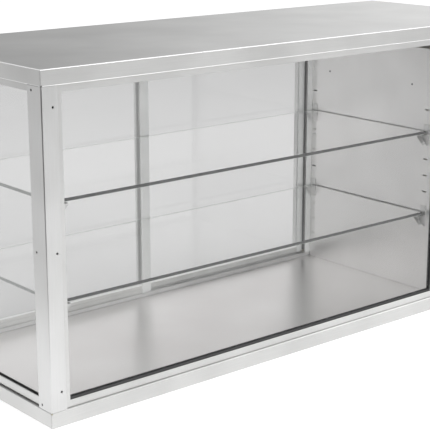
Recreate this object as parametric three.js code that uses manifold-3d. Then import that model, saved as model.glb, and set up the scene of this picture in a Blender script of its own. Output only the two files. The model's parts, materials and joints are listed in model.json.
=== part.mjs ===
// Countertop refrigerated display case: a glazed, two-shelf display bay with sliding rear doors, beside
// a closed bay that holds the refrigeration. Millimetres, +Z up. The front faces -Y and the origin is
// the middle of the flat underside.
import * as THREE from "three";
import { mergeVertices } from "three/addons/utils/BufferGeometryUtils.js";
import Module from "manifold-3d";

const wasm = await Module();
wasm.setup();

// Overall size
const CABINET_WIDTH = 1222;
const CABINET_DEPTH = 447;
const CABINET_HEIGHT = 600;

// Sheet, clearances and fineness
const SHEET = 1.2;
const FIT = 0.3; // between two pieces that touch
const OVERRUN = 2; // how far a cutter runs past the face that it cuts
const ROUND_STEPS = 8; // half the sides of a small round hole
const FINE_STEPS = 16; // half the sides of a large round
const COARSE_STEPS = 4; // half the sides of a pipe or a small screw hole, and steps of a blade's curve

// Base pan and roof cover
const BASE_HEIGHT = 28;
const ROOF_HEIGHT = 27;
const PAN_RETURN = 22; // width of the flange that is turned in
const SEAM = 0.4; // open line where two walls meet at a corner
const SEAM_RELIEF = 2.4; // square notch at the end of a corner seam

// Corner posts
const POST_FRONT = 31.5; // width of the face seen from the front or the rear
const POST_SIDE = 39.6; // width of the face seen from the end
const FRAME_RECESS = 4.5; // how far the frames and panels lie behind the posts
const POST_SCREW = 4.2;
const POST_FRONT_SCREW_IN = 21; // from the corner
const POST_SIDE_SCREW_IN = 28.3;
const POST_FRONT_SCREW_END = 33.7; // from the post's two ends
const POST_SIDE_SCREW_END = 7.5;

// Glazing: the front pane and the left pane
const GLASS = 6;
const GLASS_INSET = 9; // outer face of a pane behind the posts
const GLASS_EDGE_HIDDEN = 5; // how much of a pane's edge its frame hides
const SEAL_LIP = 2.7;
const FRONT_STILE_SHOWN = 9.5;
const FRONT_SILL = 13;
const FRONT_HEAD = 12;
const SIDE_SHADOW_GAP = 2;
const SIDE_SILL = 14;
const SIDE_HEAD = 12;
const SIDE_STILE_HIDDEN = 1.6; // the side frame's stile ends this far behind the post's edge
const SEAL_SHOWN_SILL = 4.5; // rubber that shows above the front sill
const SEAL_SHOWN_MULLION = 2;
const MULLION = 16;
const MULLION_LAP = 8; // how far the mullion reaches in front of the bay

// Floor tray
const TRAY_RISE = 6; // its top above the base pan

// Slotted uprights, shelves and brackets
const UPRIGHT_WIDTH = 25.7;
const UPRIGHT_DEPTH = 35.7;
const UPRIGHT_WALL = 1.5;
const SHELF_GLASS = 6;
const SHELF_FRONT = 43; // from the cabinet's front face
const SHELF_REAR = 74; // from the cabinet's rear face
const SHELF_END_GAP = 3;
const SLOT_COUNT = 8;
const SLOT_PITCH = 34.5;
const SLOT_WIDTH = 11;
const SLOT_HEIGHT = 3;
const SLOT_FRONT = 42.3; // from the cabinet's front face
const SLOT_REAR = 77; // from the cabinet's rear face
const UPPER_SHELF_SLOT = 5; // counted from the lowest slot
const LOWER_SHELF_SLOT = 0;
const BRACKET_RISE = 19.5; // from the slot's middle to the underside of the glass
const BRACKET_REACH = 22;
const BRACKET_WIDTH = 14;
const BRACKET_SHEET = 1.5;
const BRACKET_TIP = 4; // height of the cheek at the arm's end
const BRACKET_FOOT = 4; // length of the cheek at its foot
const BRACKET_TOP = 5; // back strip above the upper slot
const HOOK_WIDTH = 9;
const HOOK_SHEET = 1.5;
const HOOK_DROP = 4;

// Partition between the display bay and the refrigeration bay
const PARTITION_FRONT = 17; // from the cabinet's front face
const PARTITION_REAR_GAP = 67.3; // from the cabinet's rear face
const PARTITION_TOP_GAP = 26; // air gap between its top edge and the roof
const PARTITION_FLANGE = 24;
const PARTITION_SCREW = 3.4;
const PARTITION_SCREW_DOWN = 77.4; // below its top edge
const PARTITION_SCREW_FRONT = 86.4; // from the cabinet's front face
const PARTITION_SCREW_REAR = 121.6; // from the cabinet's rear face

// Rear sliding doors and their tracks
const TRACK_SETBACK = 67; // front edge of the tracks from the cabinet's rear face
const TRACK_WALL = 2;
const TRACK_GROOVE = 13.5;
const TRACK_APRON = 12;
const TRACK_FIN = 6;
const TOP_TRACK_FIN = 22;
const JAMB_FACE = 17;
const JAMB_REAR_LIP = 5;
const JAMB_PAST_PARTITION = 2.7;
const DOOR_THICKNESS = 7;
const DOOR_GLASS = 4;
const DOOR_GLASS_BITE = 6; // how deep its edge sits in a stile or rail
const DOOR_END_GAP = 6;
const DOOR_TOP_PLAY = 10.7;
const MEETING_STILE = 23;
const MEETING_STEP = 10.3;
const STEP_DEPTH = 1.2;
const END_STILE = 16;
const DOOR_BOTTOM_RAIL = 14.4;
const GRIP_LIP = 5;
const GRIP_WALL = 2;

// Refrigeration bay: cold duct, insulated bulkhead and service panels
const REFRIGERATION_WIDTH = 262; // from the display bay to the right end
const DUCT_WIDTH = 90.8;
const BULKHEAD = 20;
const PANEL_FOLD = 12;
const DUCT_WALL = 10.7; // foam across the duct's front end
const DUCT_REAR_WALL = 60; // foam across its rear end, behind the partition
const ROOF_FOAM = 22.5;
const LOUVRE_COUNT = 9;
const LOUVRE_PITCH = 16;
const LOUVRE_LENGTH = 100;
const LOUVRE_SLOT = 5;
const LOUVRE_HOOD = 4; // how far a louvre stands out of its panel
const SIDE_LOUVRE_LENGTH = 150;
const SIDE_LOUVRE_COLUMNS = 2;
const SIDE_LOUVRE_GUTTER = 40;
const LOUVRE_FOOT = 66; // lowest louvre above the table
const PANEL_SCREW = 4.2;
const PANEL_SCREW_EDGE = 9;

// Evaporator side
const COIL_FIN = 1.4;
const COIL_SPINE = 8;
const COIL_TUBE = 9.5;
const COIL_BENDS = 4;
const FIN_EMBED = 0.6; // how deep the fins are rooted in their mounting plate
const EVAPORATOR_WIDTH = 78;
const EVAPORATOR_SHARE = 0.47; // share of the duct's length that the coil takes
const EVAPORATOR_GAP = 4.5; // between the coil and the fan deck
const EVAPORATOR_HEIGHT = 124;
const EVAPORATOR_FINS = 18;
const EVAPORATOR_PLATE_ABOVE = 12; // its mounting plate above the fins
const DECK_ABOVE_SCREW = 8;
const DECK_FOLD = 16;
const SMALL_FAN = 80;
const SMALL_FAN_DEPTH = 25;
const SMALL_FAN_BORE = 75;
const SMALL_FAN_HUB = 32;
const SMALL_FAN_BLADES = 7;
const FAN_TIP_GAP = 1.5;
const FAN_STRUT = 4;
const FAN_BLADE = 1.6;
const FAN_BLADE_PITCH_DEGREES = 36;
const FAN_SCREW = 3.4;
const FAN_SCREW_EDGE = 5;

// Condensing side
const COMPRESSOR_RADIUS = 55;
const COMPRESSOR_HEIGHT = 150;
const COMPRESSOR_BAND = 4; // the welded lip round its waist
const COMPRESSOR_BAND_HEIGHT = 6;
const COMPRESSOR_FOOT_SHEET = 3;
const COMPRESSOR_LIFT = 14; // its foot plate above the base pan, on the grommets
const COMPRESSOR_FROM_FRONT = 110;
const COMPRESSOR_FOOT_WIDTH = 116;
const COMPRESSOR_FOOT_LENGTH = 168;
const GROMMET_RADIUS = 10;
const GROMMET_INSET = 14;
const TERMINAL_WIDTH = 46;
const TERMINAL_HEIGHT = 56;
const TERMINAL_DEPTH = 20;
const CONDENSER_WIDTH = 120;
const CONDENSER_DEPTH = 44;
const CONDENSER_HEIGHT = 190;
const CONDENSER_FINS = 16;
const CONDENSER_FROM_REAR = 24;
const CONDENSER_RISE = 22; // above the base pan
const SHROUD_DEPTH = 26;
const SHROUD_FOOT = 16;
const LARGE_FAN_BORE = 112;
const LARGE_FAN_HUB = 44;
const LARGE_FAN_BLADES = 5;
const LARGE_FAN_DEPTH = 20;
const PIPE = 6.4;
const PIPE_HOLE = 16;
const PIPE_HOLE_PITCH = 32;
const BEND = 14;
const BEND_STEPS = 3;
const PIPE_STEPS = 6; // rings for each stop of a pipe's route
const DISCHARGE_RISE = 28; // its highest run above the fan shroud
const COIL_STUB = 28; // where a pipe meets the coil, behind its front end
const DRIER = 20;
const DRIER_OFFSET = 40; // left of the condenser's middle
const DRIER_LENGTH = 80;
const DRIP_TRAY_WIDTH = 116;
const DRIP_TRAY_HEIGHT = 34;
const DRIP_TRAY_WALL = 2;
const DRIP_TRAY_FRONT_GAP = 14; // behind the compressor's foot plate
const DRIP_TRAY_SHARE = 0.584; // share of the way from there to the fan shroud that it takes

// Controls in a pocket of the rear service panel, and the cord's inlet
const KNOB_RADIUS = 19;
const KNOB_HEIGHT = 13;
const KNOB_SHAFT = 6;
const KNOB_FLUTES = 12;
const KNOB_FLUTE = 2;
const KNOB_RISE = 440; // above the table
const CONTROL_WIDTH = 56;
const CONTROL_MARGIN = 28; // pocket past the knob's and the switch's middle
const CONTROL_POCKET = 18;
const CONTROL_DEPTH = 42;
const CONTROL_WALL = 2;
const SWITCH_WIDTH = 26;
const SWITCH_WINDOW = 21;
const SWITCH_REACH = 9; // from the rocker's pivot to its ends
const SWITCH_BELOW_KNOB = 54;
const ROCKER_TILT_DEGREES = 10;
const GLAND_RADIUS = 11;
const GLAND_NECK = 8;
const GLAND_FLANGE = 3.6;
const GLAND_LENGTH = 14;
const GLAND_BORE = 8;
const HEXAGON_STEPS = 3; // half the sides of a nut
const GLAND_RISE = 46; // above the table

// Places worked out from the driving dimensions, from the front left corner on the table
const roofFoot = CABINET_HEIGHT - ROOF_HEIGHT;
const standing = [BASE_HEIGHT + FIT, roofFoot - FIT]; // what stands between the base and the roof
const midHeight = (BASE_HEIGHT + roofFoot) / 2;
const trayTop = BASE_HEIGHT + TRAY_RISE;
const onTray = trayTop + FIT;
const paneSeat = GLASS_INSET - FIT - SEAL_LIP; // outer face of the rubber channel
const paneBack = GLASS_INSET + GLASS + FIT + SEAL_LIP; // inner face of the rubber channel
const uprightFace = paneBack + FIT;
const bayLeft = uprightFace + UPRIGHT_WIDTH;
const bayRight = CABINET_WIDTH - REFRIGERATION_WIDTH;
const partitionRear = CABINET_DEPTH - PARTITION_REAR_GAP;
const trackFront = CABINET_DEPTH - TRACK_SETBACK;
const trackRear = trackFront + 3 * TRACK_WALL + 2 * TRACK_GROOVE + TRACK_APRON;
const ductLeft = bayRight + SHEET + FIT;
const ductRight = ductLeft + DUCT_WIDTH;
const machineLeft = ductRight + FIT + BULKHEAD;
const machineRight = CABINET_WIDTH - FRAME_RECESS - SHEET - FIT;
const panelPlane = [FRAME_RECESS, FRAME_RECESS + SHEET]; // depth of the recessed frames and panels
const frontOpening = {
  x: [POST_FRONT + FRONT_STILE_SHOWN, bayRight - MULLION_LAP],
  z: [BASE_HEIGHT + FRONT_SILL, roofFoot - FRONT_HEAD],
};
const sideOpening = {
  y: [POST_SIDE - SIDE_STILE_HIDDEN, CABINET_DEPTH - POST_SIDE + SIDE_STILE_HIDDEN],
  z: [BASE_HEIGHT + SIDE_SHADOW_GAP + SIDE_SILL, roofFoot - SIDE_HEAD],
};
const mullionRight = bayRight - MULLION_LAP + MULLION;
const slotHeights = Array.from(
  { length: SLOT_COUNT },
  (_, i) => midHeight + (i - (SLOT_COUNT - 1) / 2) * SLOT_PITCH,
);
const slotColumns = [SLOT_FRONT, CABINET_DEPTH - SLOT_REAR];
const partitionTop = roofFoot - PARTITION_TOP_GAP;
const partitionScrewZ = partitionTop - PARTITION_SCREW_DOWN;

// Stainless steel, glass, rubber and the rest, as the photograph shows them
const finish = (color, roughness, metalness) =>
  new THREE.MeshStandardMaterial({ color, roughness, metalness });
const steel = finish(0xc9c8c6, 0.35, 0.9);
const aluminium = finish(0xb9bab9, 0.4, 0.9);
const clearGlass = finish(0xdfe7e4, 0.05, 0);
clearGlass.transparent = true;
clearGlass.opacity = 0.3;
const rubber = finish(0x2e2e2e, 0.8, 0);
const foam = finish(0xe6dfc8, 0.9, 0);
const blackPlastic = finish(0x26282a, 0.6, 0);
const copper = finish(0xb87350, 0.3, 1);
const blackPaint = finish(0x1d1e20, 0.5, 0.2);

const X = new THREE.Vector3(1, 0, 0);
const Y = new THREE.Vector3(0, 1, 0);
const Z = new THREE.Vector3(0, 0, 1);

// A closed three.js shape as a solid that can be cut and joined.
function solid(shape) {
  const bare = shape.clone();
  bare.deleteAttribute("normal");
  bare.deleteAttribute("uv");
  const merged = mergeVertices(bare);
  return new wasm.Manifold(
    new wasm.Mesh({
      numProp: 3,
      vertProperties: merged.attributes.position.array,
      triVerts: new Uint32Array(merged.index.array),
    }),
  );
}

// A box from its low and high side in each direction.
function block([x0, x1], [y0, y1], [z0, z1]) {
  const shape = new THREE.BoxGeometry(x1 - x0, y1 - y0, z1 - z0);
  shape.translate((x0 + x1) / 2, (y0 + y1) / 2, (z0 + z1) / 2);
  return solid(shape);
}

// A profile drawn across one axis and run along it. Its two drawing directions are Y and Z for x,
// X and Z for y, and X and Y for z.
function extrude(axis, profile, [low, high], steps = ROUND_STEPS) {
  const outline = Array.isArray(profile)
    ? new THREE.Shape(profile.map((p) => new THREE.Vector2(...p)))
    : profile;
  const run = new THREE.ExtrudeGeometry(outline, {
    depth: high - low,
    bevelEnabled: false,
    curveSegments: steps,
  });
  const bases = { x: [Y, Z, X], y: [X, Z, Y.clone().negate()], z: [X, Y, Z] };
  const starts = { x: [low, 0, 0], y: [0, high, 0], z: [0, 0, low] };
  const place = new THREE.Matrix4().makeBasis(...bases[axis]);
  place.setPosition(...starts[axis]);
  run.applyMatrix4(place);
  return solid(run);
}

// A round bar along an axis, centred at (u, v) in the profile's drawing directions.
function bar(axis, [u, v], radius, range, steps = ROUND_STEPS) {
  const shape = new THREE.Shape();
  shape.absarc(u, v, radius, 0, 2 * Math.PI, false);
  return extrude(axis, shape, range, steps);
}

// The outline of a flat plate: a rectangle in the drawing directions.
const rectangle = ([u0, u1], [v0, v1]) => [[u0, v0], [u1, v0], [u1, v1], [u0, v1]];

// The outline of a bent sheet: a line of points thickened to its left, with mitred bends.
function bentSheet(line, thickness = SHEET) {
  const points = line.map((p) => new THREE.Vector2(...p));
  const lefts = points.slice(1).map((p, i) => {
    const along = p.clone().sub(points[i]).normalize();
    return new THREE.Vector2(-along.y, along.x);
  });
  const inner = points.map((p, i) => {
    const before = lefts[Math.max(i - 1, 0)];
    const after = lefts[Math.min(i, lefts.length - 1)];
    const mitre = before.clone().add(after);
    return p.clone().add(mitre.multiplyScalar((2 * thickness) / mitre.lengthSq()));
  });
  return [...points, ...inner.reverse()].map((p) => [p.x, p.y]);
}

// A closed profile turned about the upright line through the centre.
function revolve(profile, [x, y, z], steps = FINE_STEPS) {
  const shape = new THREE.LatheGeometry(profile.map((p) => new THREE.Vector2(...p)), 2 * steps);
  shape.rotateX(Math.PI / 2);
  shape.translate(x, y, z);
  return solid(shape);
}

// A pipe along a route of points, with rounded bends.
function pipe(points, radius, steps = COARSE_STEPS) {
  const stops = points.map((p) => new THREE.Vector3(...p));
  const route = new THREE.CurvePath();
  let from = stops[0];
  stops.slice(1, -1).forEach((corner, i) => {
    const bend = Math.min(BEND, corner.distanceTo(from) / 2, corner.distanceTo(stops[i + 2]) / 2);
    const into = corner.clone().lerp(from, bend / corner.distanceTo(from));
    const out = corner.clone().lerp(stops[i + 2], bend / corner.distanceTo(stops[i + 2]));
    if (into.distanceTo(from) > FIT) route.add(new THREE.LineCurve3(from, into));
    route.add(new THREE.QuadraticBezierCurve3(into, corner, out));
    from = out;
  });
  route.add(new THREE.LineCurve3(from, stops.at(-1)));
  const section = new THREE.Shape();
  section.absarc(0, 0, radius, 0, 2 * Math.PI, false);
  const rings = route.getPoints(BEND_STEPS);
  const line = new THREE.CatmullRomCurve3(rings, false, "centripetal");
  const run = new THREE.ExtrudeGeometry(section, {
    extrudePath: line,
    steps: PIPE_STEPS * points.length,
    curveSegments: steps,
    bevelEnabled: false,
  });
  return solid(run);
}

const joined = (pieces) => pieces.reduce((whole, piece) => whole.add(piece));
const widened = ([low, high], by) => [low - by, high + by];
const flipped = ([low, high], size) => [size - high, size - low];

const cabinet = new THREE.Group();
cabinet.position.set(-CABINET_WIDTH / 2, -CABINET_DEPTH / 2, 0);

// One named piece of the cabinet.
function piece(name, made, material, place = [0, 0, 0], turn = [0, 0, 0]) {
  const raw = made.getMesh();
  const shape = new THREE.BufferGeometry();
  shape.setAttribute("position", new THREE.BufferAttribute(raw.vertProperties, 3));
  shape.setIndex(new THREE.BufferAttribute(raw.triVerts, 1));
  shape.computeVertexNormals();
  const mesh = new THREE.Mesh(shape, material);
  mesh.name = name;
  mesh.position.set(...place);
  mesh.rotation.set(...turn);
  cabinet.add(mesh);
}

// A folded pan that is open on one side: its sheet, four walls, and a flange turned in along them.
// Thin seams with small relief notches run down its corners.
function foldedPan([low, high], opensUp) {
  const wide = [0, CABINET_WIDTH];
  const deep = [0, CABINET_DEPTH];
  const inner = (by) => [widened(wide, -by), widened(deep, -by)];
  const mouth = opensUp ? [high - SHEET - OVERRUN, high + OVERRUN] : [low - OVERRUN, low + SHEET + OVERRUN];
  let pan = block(wide, deep, [low, high]);
  pan = pan.subtract(block(...inner(SHEET), widened([low, high], -SHEET)));
  pan = pan.subtract(block(...inner(PAN_RETURN), mouth));
  const flange = opensUp ? [high - SHEET - FIT, high + OVERRUN] : [low - OVERRUN, low + SHEET + FIT];
  const walls = opensUp ? [low + SHEET, high + OVERRUN] : [low - OVERRUN, high - SHEET];
  const notchAt = opensUp ? [high - SEAM_RELIEF, high + OVERRUN] : [low - OVERRUN, low + SEAM_RELIEF];
  for (const left of [true, false]) {
    for (const front of [true, false]) {
      const atX = (range) => (left ? range : flipped(range, CABINET_WIDTH));
      const atY = (range) => (front ? range : flipped(range, CABINET_DEPTH));
      const cutBack = block(atX([SHEET, POST_FRONT]), atY([SHEET, POST_SIDE]), flange);
      const seam = block(atX([-OVERRUN, SHEET + FIT]), atY([SHEET, SHEET + SEAM]), walls);
      const relief = block(atX([-OVERRUN, SEAM_RELIEF]), atY([0, SEAM_RELIEF]), notchAt);
      pan = pan.subtract(seam).subtract(relief);
      if (!opensUp) pan = pan.subtract(cutBack);
    }
  }
  return pan;
}

// Base pan with its flat underside, and the foam that fills it under the display bay
function base() {
  piece("base_pan", foldedPan([0, BASE_HEIGHT], true), steel);
  const liner = SHEET + FIT;
  const slab = block(
    [liner, machineLeft - FIT],
    [liner, CABINET_DEPTH - liner],
    [liner, BASE_HEIGHT - liner],
  );
  const pad = block(
    [PAN_RETURN + FIT, ductRight - SHEET - 2 * FIT],
    [PAN_RETURN + FIT, CABINET_DEPTH - PAN_RETURN - FIT - SHEET],
    [BASE_HEIGHT - liner - FIT, trayTop - liner],
  );
  piece("base_foam", slab.add(pad), foam);
}

// Roof cover with the foam in it, and the liner that closes it from below
function roof() {
  const liner = [roofFoot + SHEET + FIT, roofFoot + 2 * SHEET + FIT];
  const side = SHEET + FIT;
  const lined = [[side, CABINET_WIDTH - side], [side, CABINET_DEPTH - side]];
  piece("roof_cover", foldedPan([roofFoot, CABINET_HEIGHT], false), steel);
  piece("ceiling_liner", block(...lined, liner), steel);
  piece("roof_foam", block(...lined, [liner[1] + FIT, liner[1] + FIT + ROOF_FOAM]), foam);
}

// One L-shaped corner post: two faces, each ending in a lip that is turned in to the frame behind it.
function cornerPost(name, left, front) {
  const lip = FRAME_RECESS - FIT;
  const line = [
    [POST_FRONT, lip], [POST_FRONT, 0], [0, 0], [0, POST_SIDE], [lip, POST_SIDE],
  ].map(([x, y]) => [left ? x : CABINET_WIDTH - x, front ? y : CABINET_DEPTH - y]);
  let post = extrude("z", bentSheet(left === front ? line.reverse() : line), standing);
  const through = [-OVERRUN, SHEET + OVERRUN];
  const atX = (range) => (left ? range : flipped(range, CABINET_WIDTH));
  const atY = (range) => (front ? range : flipped(range, CABINET_DEPTH));
  const screwX = left ? POST_FRONT_SCREW_IN : CABINET_WIDTH - POST_FRONT_SCREW_IN;
  const screwY = front ? POST_SIDE_SCREW_IN : CABINET_DEPTH - POST_SIDE_SCREW_IN;
  for (const z of [midHeight, ...widened(standing, -POST_FRONT_SCREW_END)]) {
    post = post.subtract(bar("y", [screwX, z], POST_SCREW / 2, atY(through)));
  }
  for (const z of [midHeight, ...widened(standing, -POST_SIDE_SCREW_END)]) {
    post = post.subtract(bar("x", [screwY, z], POST_SCREW / 2, atX(through)));
  }
  piece(name, post, steel);
}

// A glazed side of the bay lies across X at the front and across Y at the left end.
const facing = {
  front: (across, deep, high) => block(across, deep, high),
  left: (across, deep, high) => block(deep, across, high),
};

// A recessed frame of sheet round an opening, with a ledge folded in below the pane.
function glazedFrame(side, outer, opening, ledge) {
  const plate = facing[side](outer.across, panelPlane, outer.high);
  const hole = facing[side](opening.across, widened(panelPlane, OVERRUN), opening.high);
  const shelf = facing[side](ledge.across, [panelPlane[0], paneBack - FIT], ledge.high);
  return plate.subtract(hole).add(shelf);
}

// A rubber channel round a pane: two lips and the web between them. The window is what its lips leave
// open.
function channel(side, pane, shown) {
  const grow = FIT + SEAL_LIP;
  const outer = [widened(pane.across, grow), widened(pane.high, grow)];
  const groove = [widened(pane.across, FIT), widened(pane.high, FIT)];
  const body = facing[side](outer[0], [paneSeat, paneBack], outer[1]);
  const slot = facing[side](groove[0], [GLASS_INSET - FIT, GLASS_INSET + GLASS + FIT], groove[1]);
  const window = facing[side](shown.across, [paneSeat - OVERRUN, paneBack + OVERRUN], shown.high);
  return body.subtract(slot).subtract(window);
}

// Front and left panes, each in its rubber channel behind its frame
function glazing() {
  const hide = GLASS_EDGE_HIDDEN;
  const clearOfSide = panelPlane[1] + FIT;
  const front = {
    across: [frontOpening.x[0] - hide, frontOpening.x[1] + hide - FIT],
    high: widened(frontOpening.z, hide),
  };
  const left = {
    across: widened(sideOpening.y, hide),
    high: [sideOpening.z[0] - hide, sideOpening.z[1] + hide],
  };
  const ledgeBelow = (pane) => {
    const top = pane.high[0] - 2 * FIT - SEAL_LIP;
    return [top - SHEET, top];
  };
  piece("front_frame", glazedFrame(
    "front",
    { across: [clearOfSide, mullionRight], high: standing },
    { across: frontOpening.x, high: frontOpening.z },
    { across: front.across, high: ledgeBelow(front) },
  ), steel);
  piece("left_frame", glazedFrame(
    "left",
    {
      across: [panelPlane[0], CABINET_DEPTH - panelPlane[0]],
      high: [BASE_HEIGHT + SIDE_SHADOW_GAP, standing[1]],
    },
    { across: sideOpening.y, high: sideOpening.z },
    { across: left.across, high: ledgeBelow(left) },
  ), steel);
  const paneDeep = [GLASS_INSET, GLASS_INSET + GLASS];
  piece("front_glass", facing.front(front.across, paneDeep, front.high), clearGlass);
  piece("left_glass", facing.left(left.across, paneDeep, left.high), clearGlass);
  piece("front_glass_seal", channel("front", front, {
    across: [frontOpening.x[0] - FIT, frontOpening.x[1] - SEAL_SHOWN_MULLION],
    high: [frontOpening.z[0] + SEAL_SHOWN_SILL, frontOpening.z[1] + FIT],
  }), rubber);
  piece("left_glass_seal", channel("left", left, {
    across: widened(sideOpening.y, FIT),
    high: widened(sideOpening.z, FIT),
  }), rubber);
}

// Floor tray of the display bay and the duct, with its edges folded down onto the base pan
function floorTray() {
  const across = [uprightFace, ductRight - FIT];
  const deep = [uprightFace, trackRear + SHEET + FIT];
  const under = [BASE_HEIGHT + FIT - OVERRUN, trayTop - SHEET];
  const tray = block(across, deep, [BASE_HEIGHT + FIT, trayTop]);
  piece("floor_tray", tray.subtract(block(widened(across, -SHEET), widened(deep, -SHEET), under)), steel);
}

// The cutters for one column of shelf slots through a wall across X
function slotColumn(y, through) {
  const wide = [y - SLOT_WIDTH / 2, y + SLOT_WIDTH / 2];
  return slotHeights.map((z) => block(through, wide, [z - SLOT_HEIGHT / 2, z + SLOT_HEIGHT / 2]));
}

// A flat-sided tube that stands in a left corner of the bay, slotted for the brackets
function upright(name, deep, column) {
  const across = [uprightFace, bayLeft];
  const high = [onTray, standing[1]];
  let tube = block(across, deep, high);
  const inner = [widened(across, -UPRIGHT_WALL), widened(deep, -UPRIGHT_WALL)];
  tube = tube.subtract(block(...inner, widened(high, OVERRUN)));
  for (const slot of slotColumn(column, [bayLeft - UPRIGHT_WALL - OVERRUN, bayLeft + OVERRUN])) {
    tube = tube.subtract(slot);
  }
  piece(name, tube, steel);
}

// Where the partition's two screws go, as places across Y and Z
const partitionScrews = [
  [PARTITION_SCREW_FRONT, partitionScrewZ],
  [CABINET_DEPTH - PARTITION_SCREW_REAR, partitionScrewZ],
];

// Partition: a sheet with folded front and rear flanges. Its top edge is free, so that air passes over it.
function partition() {
  const high = [onTray, partitionTop];
  const line = [
    [bayRight + PARTITION_FLANGE, PARTITION_FRONT],
    [bayRight, PARTITION_FRONT],
    [bayRight, partitionRear],
    [bayRight + PARTITION_FLANGE, partitionRear],
  ];
  let wall = extrude("z", bentSheet(line.reverse()), high);
  const through = [bayRight - OVERRUN, bayRight + SHEET + OVERRUN];
  for (const column of slotColumns) {
    for (const slot of slotColumn(column, through)) wall = wall.subtract(slot);
  }
  for (const screw of partitionScrews) {
    wall = wall.subtract(bar("x", screw, PARTITION_SCREW / 2, through));
  }
  piece("partition", wall, steel);
}

// A shelf bracket folded from sheet. Its back strip hooks into two slots one pitch apart, its arm lies
// under the glass, and its two cheeks taper from the arm's tip down to the foot.
function bracket(name, wall, toward, column, slot) {
  const at = (x) => wall + toward * x;
  const range = (x0, x1) => [at(x0), at(x1)].sort((a, b) => a - b);
  const foot = slotHeights[slot];
  const seat = foot + BRACKET_RISE - FIT;
  const deep = [column - BRACKET_WIDTH / 2, column + BRACKET_WIDTH / 2];
  const back = [FIT, FIT + BRACKET_SHEET];
  const reach = FIT + BRACKET_REACH;
  const strip = block(range(...back), deep, [foot - BRACKET_FOOT, slotHeights[slot + 1] + BRACKET_TOP]);
  const arm = block(range(back[0], reach), deep, [seat - BRACKET_SHEET, seat]);
  const cheekOutline = [
    [at(back[0]), foot - BRACKET_FOOT],
    [at(back[1] + BRACKET_FOOT), foot - BRACKET_FOOT],
    [at(reach), seat - BRACKET_TIP],
    [at(reach), seat],
    [at(back[0]), seat],
  ];
  const cheeks = [
    [deep[0], deep[0] + BRACKET_SHEET],
    [deep[1] - BRACKET_SHEET, deep[1]],
  ].map((side) => extrude("y", toward > 0 ? cheekOutline : [...cheekOutline].reverse(), side));
  const thick = HOOK_SHEET / 2;
  const behind = -(UPRIGHT_WALL + FIT);
  const hooks = [foot, slotHeights[slot + 1]].flatMap((z) => {
    const wide = [column - HOOK_WIDTH / 2, column + HOOK_WIDTH / 2];
    const tongue = block(range(behind - BRACKET_SHEET, back[1]), wide, [z - thick, z + thick]);
    const drop = block(range(behind - BRACKET_SHEET, behind), wide, [z - HOOK_DROP, z + thick]);
    return [tongue, drop];
  });
  piece(name, joined([strip, arm, ...cheeks, ...hooks]), steel);
}

// The two shelves, each a loose pane on four brackets
function shelves() {
  const levels = { upper: UPPER_SHELF_SLOT, lower: LOWER_SHELF_SLOT };
  for (const [level, slot] of Object.entries(levels)) {
    const seat = slotHeights[slot] + BRACKET_RISE;
    const across = [bayLeft + SHELF_END_GAP, bayRight - SHELF_END_GAP];
    const deep = [SHELF_FRONT, CABINET_DEPTH - SHELF_REAR];
    piece(`${level}_shelf`, block(across, deep, [seat, seat + SHELF_GLASS]), clearGlass);
    ["front", "rear"].forEach((end, i) => {
      bracket(`${level}_bracket_left_${end}`, bayLeft, 1, slotColumns[i], slot);
      bracket(`${level}_bracket_right_${end}`, bayRight, -1, slotColumns[i], slot);
    });
  }
}

// The doors' tracks: a web with three fins that make two grooves, and an apron behind them
const trackEnds = [uprightFace, bayRight + JAMB_PAST_PARTITION];
const trackPitch = TRACK_WALL + TRACK_GROOVE;
const bottomFinTop = onTray + TRACK_WALL + TRACK_FIN;
const topFinFoot = standing[1] - TOP_TRACK_FIN;

function trackOutline(seat, web, finEnd) {
  const fins = [2, 1, 0].flatMap((i) => {
    const front = trackFront + i * trackPitch;
    const rear = front + TRACK_WALL;
    return [[rear, web], [rear, finEnd], [front, finEnd], [front, i ? web : finEnd]];
  });
  return [[trackFront, seat], [trackRear, seat], [trackRear, web], ...fins];
}

function tracks() {
  const lower = trackOutline(onTray, onTray + TRACK_WALL, bottomFinTop);
  const upper = trackOutline(standing[1], standing[1] - TRACK_WALL, topFinFoot);
  piece("bottom_track", extrude("x", lower, trackEnds), aluminium);
  piece("top_track", extrude("x", upper, trackEnds), aluminium);
}

// The doors' jambs: channels that face each other, with a wide front face and a short rear lip
function jambs() {
  const high = [bottomFinTop + FIT, topFinFoot - FIT];
  for (const left of [true, false]) {
    const web = left ? trackEnds[0] : trackEnds[1];
    const toward = left ? 1 : -1;
    const line = [
      [web + toward * JAMB_FACE, trackFront],
      [web, trackFront],
      [web, trackRear],
      [web + toward * JAMB_REAR_LIP, trackRear],
    ];
    const outline = bentSheet(left ? line.reverse() : line);
    piece(left ? "rear_left_jamb" : "rear_right_jamb", extrude("z", outline, high), aluminium);
  }
}

// A door stile in plan, from its free end at the start toward the glass: a groove for the glass, and on a
// meeting stile a step in the face
function stileOutline(start, toward, front, width, step) {
  const rear = front + DOOR_THICKNESS;
  const lip = (DOOR_THICKNESS - DOOR_GLASS) / 2 - FIT;
  const floor = width - DOOR_GLASS_BITE - FIT;
  const face = step
    ? [[0, front + STEP_DEPTH], [step, front + STEP_DEPTH], [step, front]]
    : [[0, front]];
  const points = [
    ...face, [width, front], [width, front + lip], [floor, front + lip],
    [floor, rear - lip], [width, rear - lip], [width, rear], [0, rear],
  ];
  return points.map(([along, y]) => [start + toward * along, y]);
}

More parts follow.
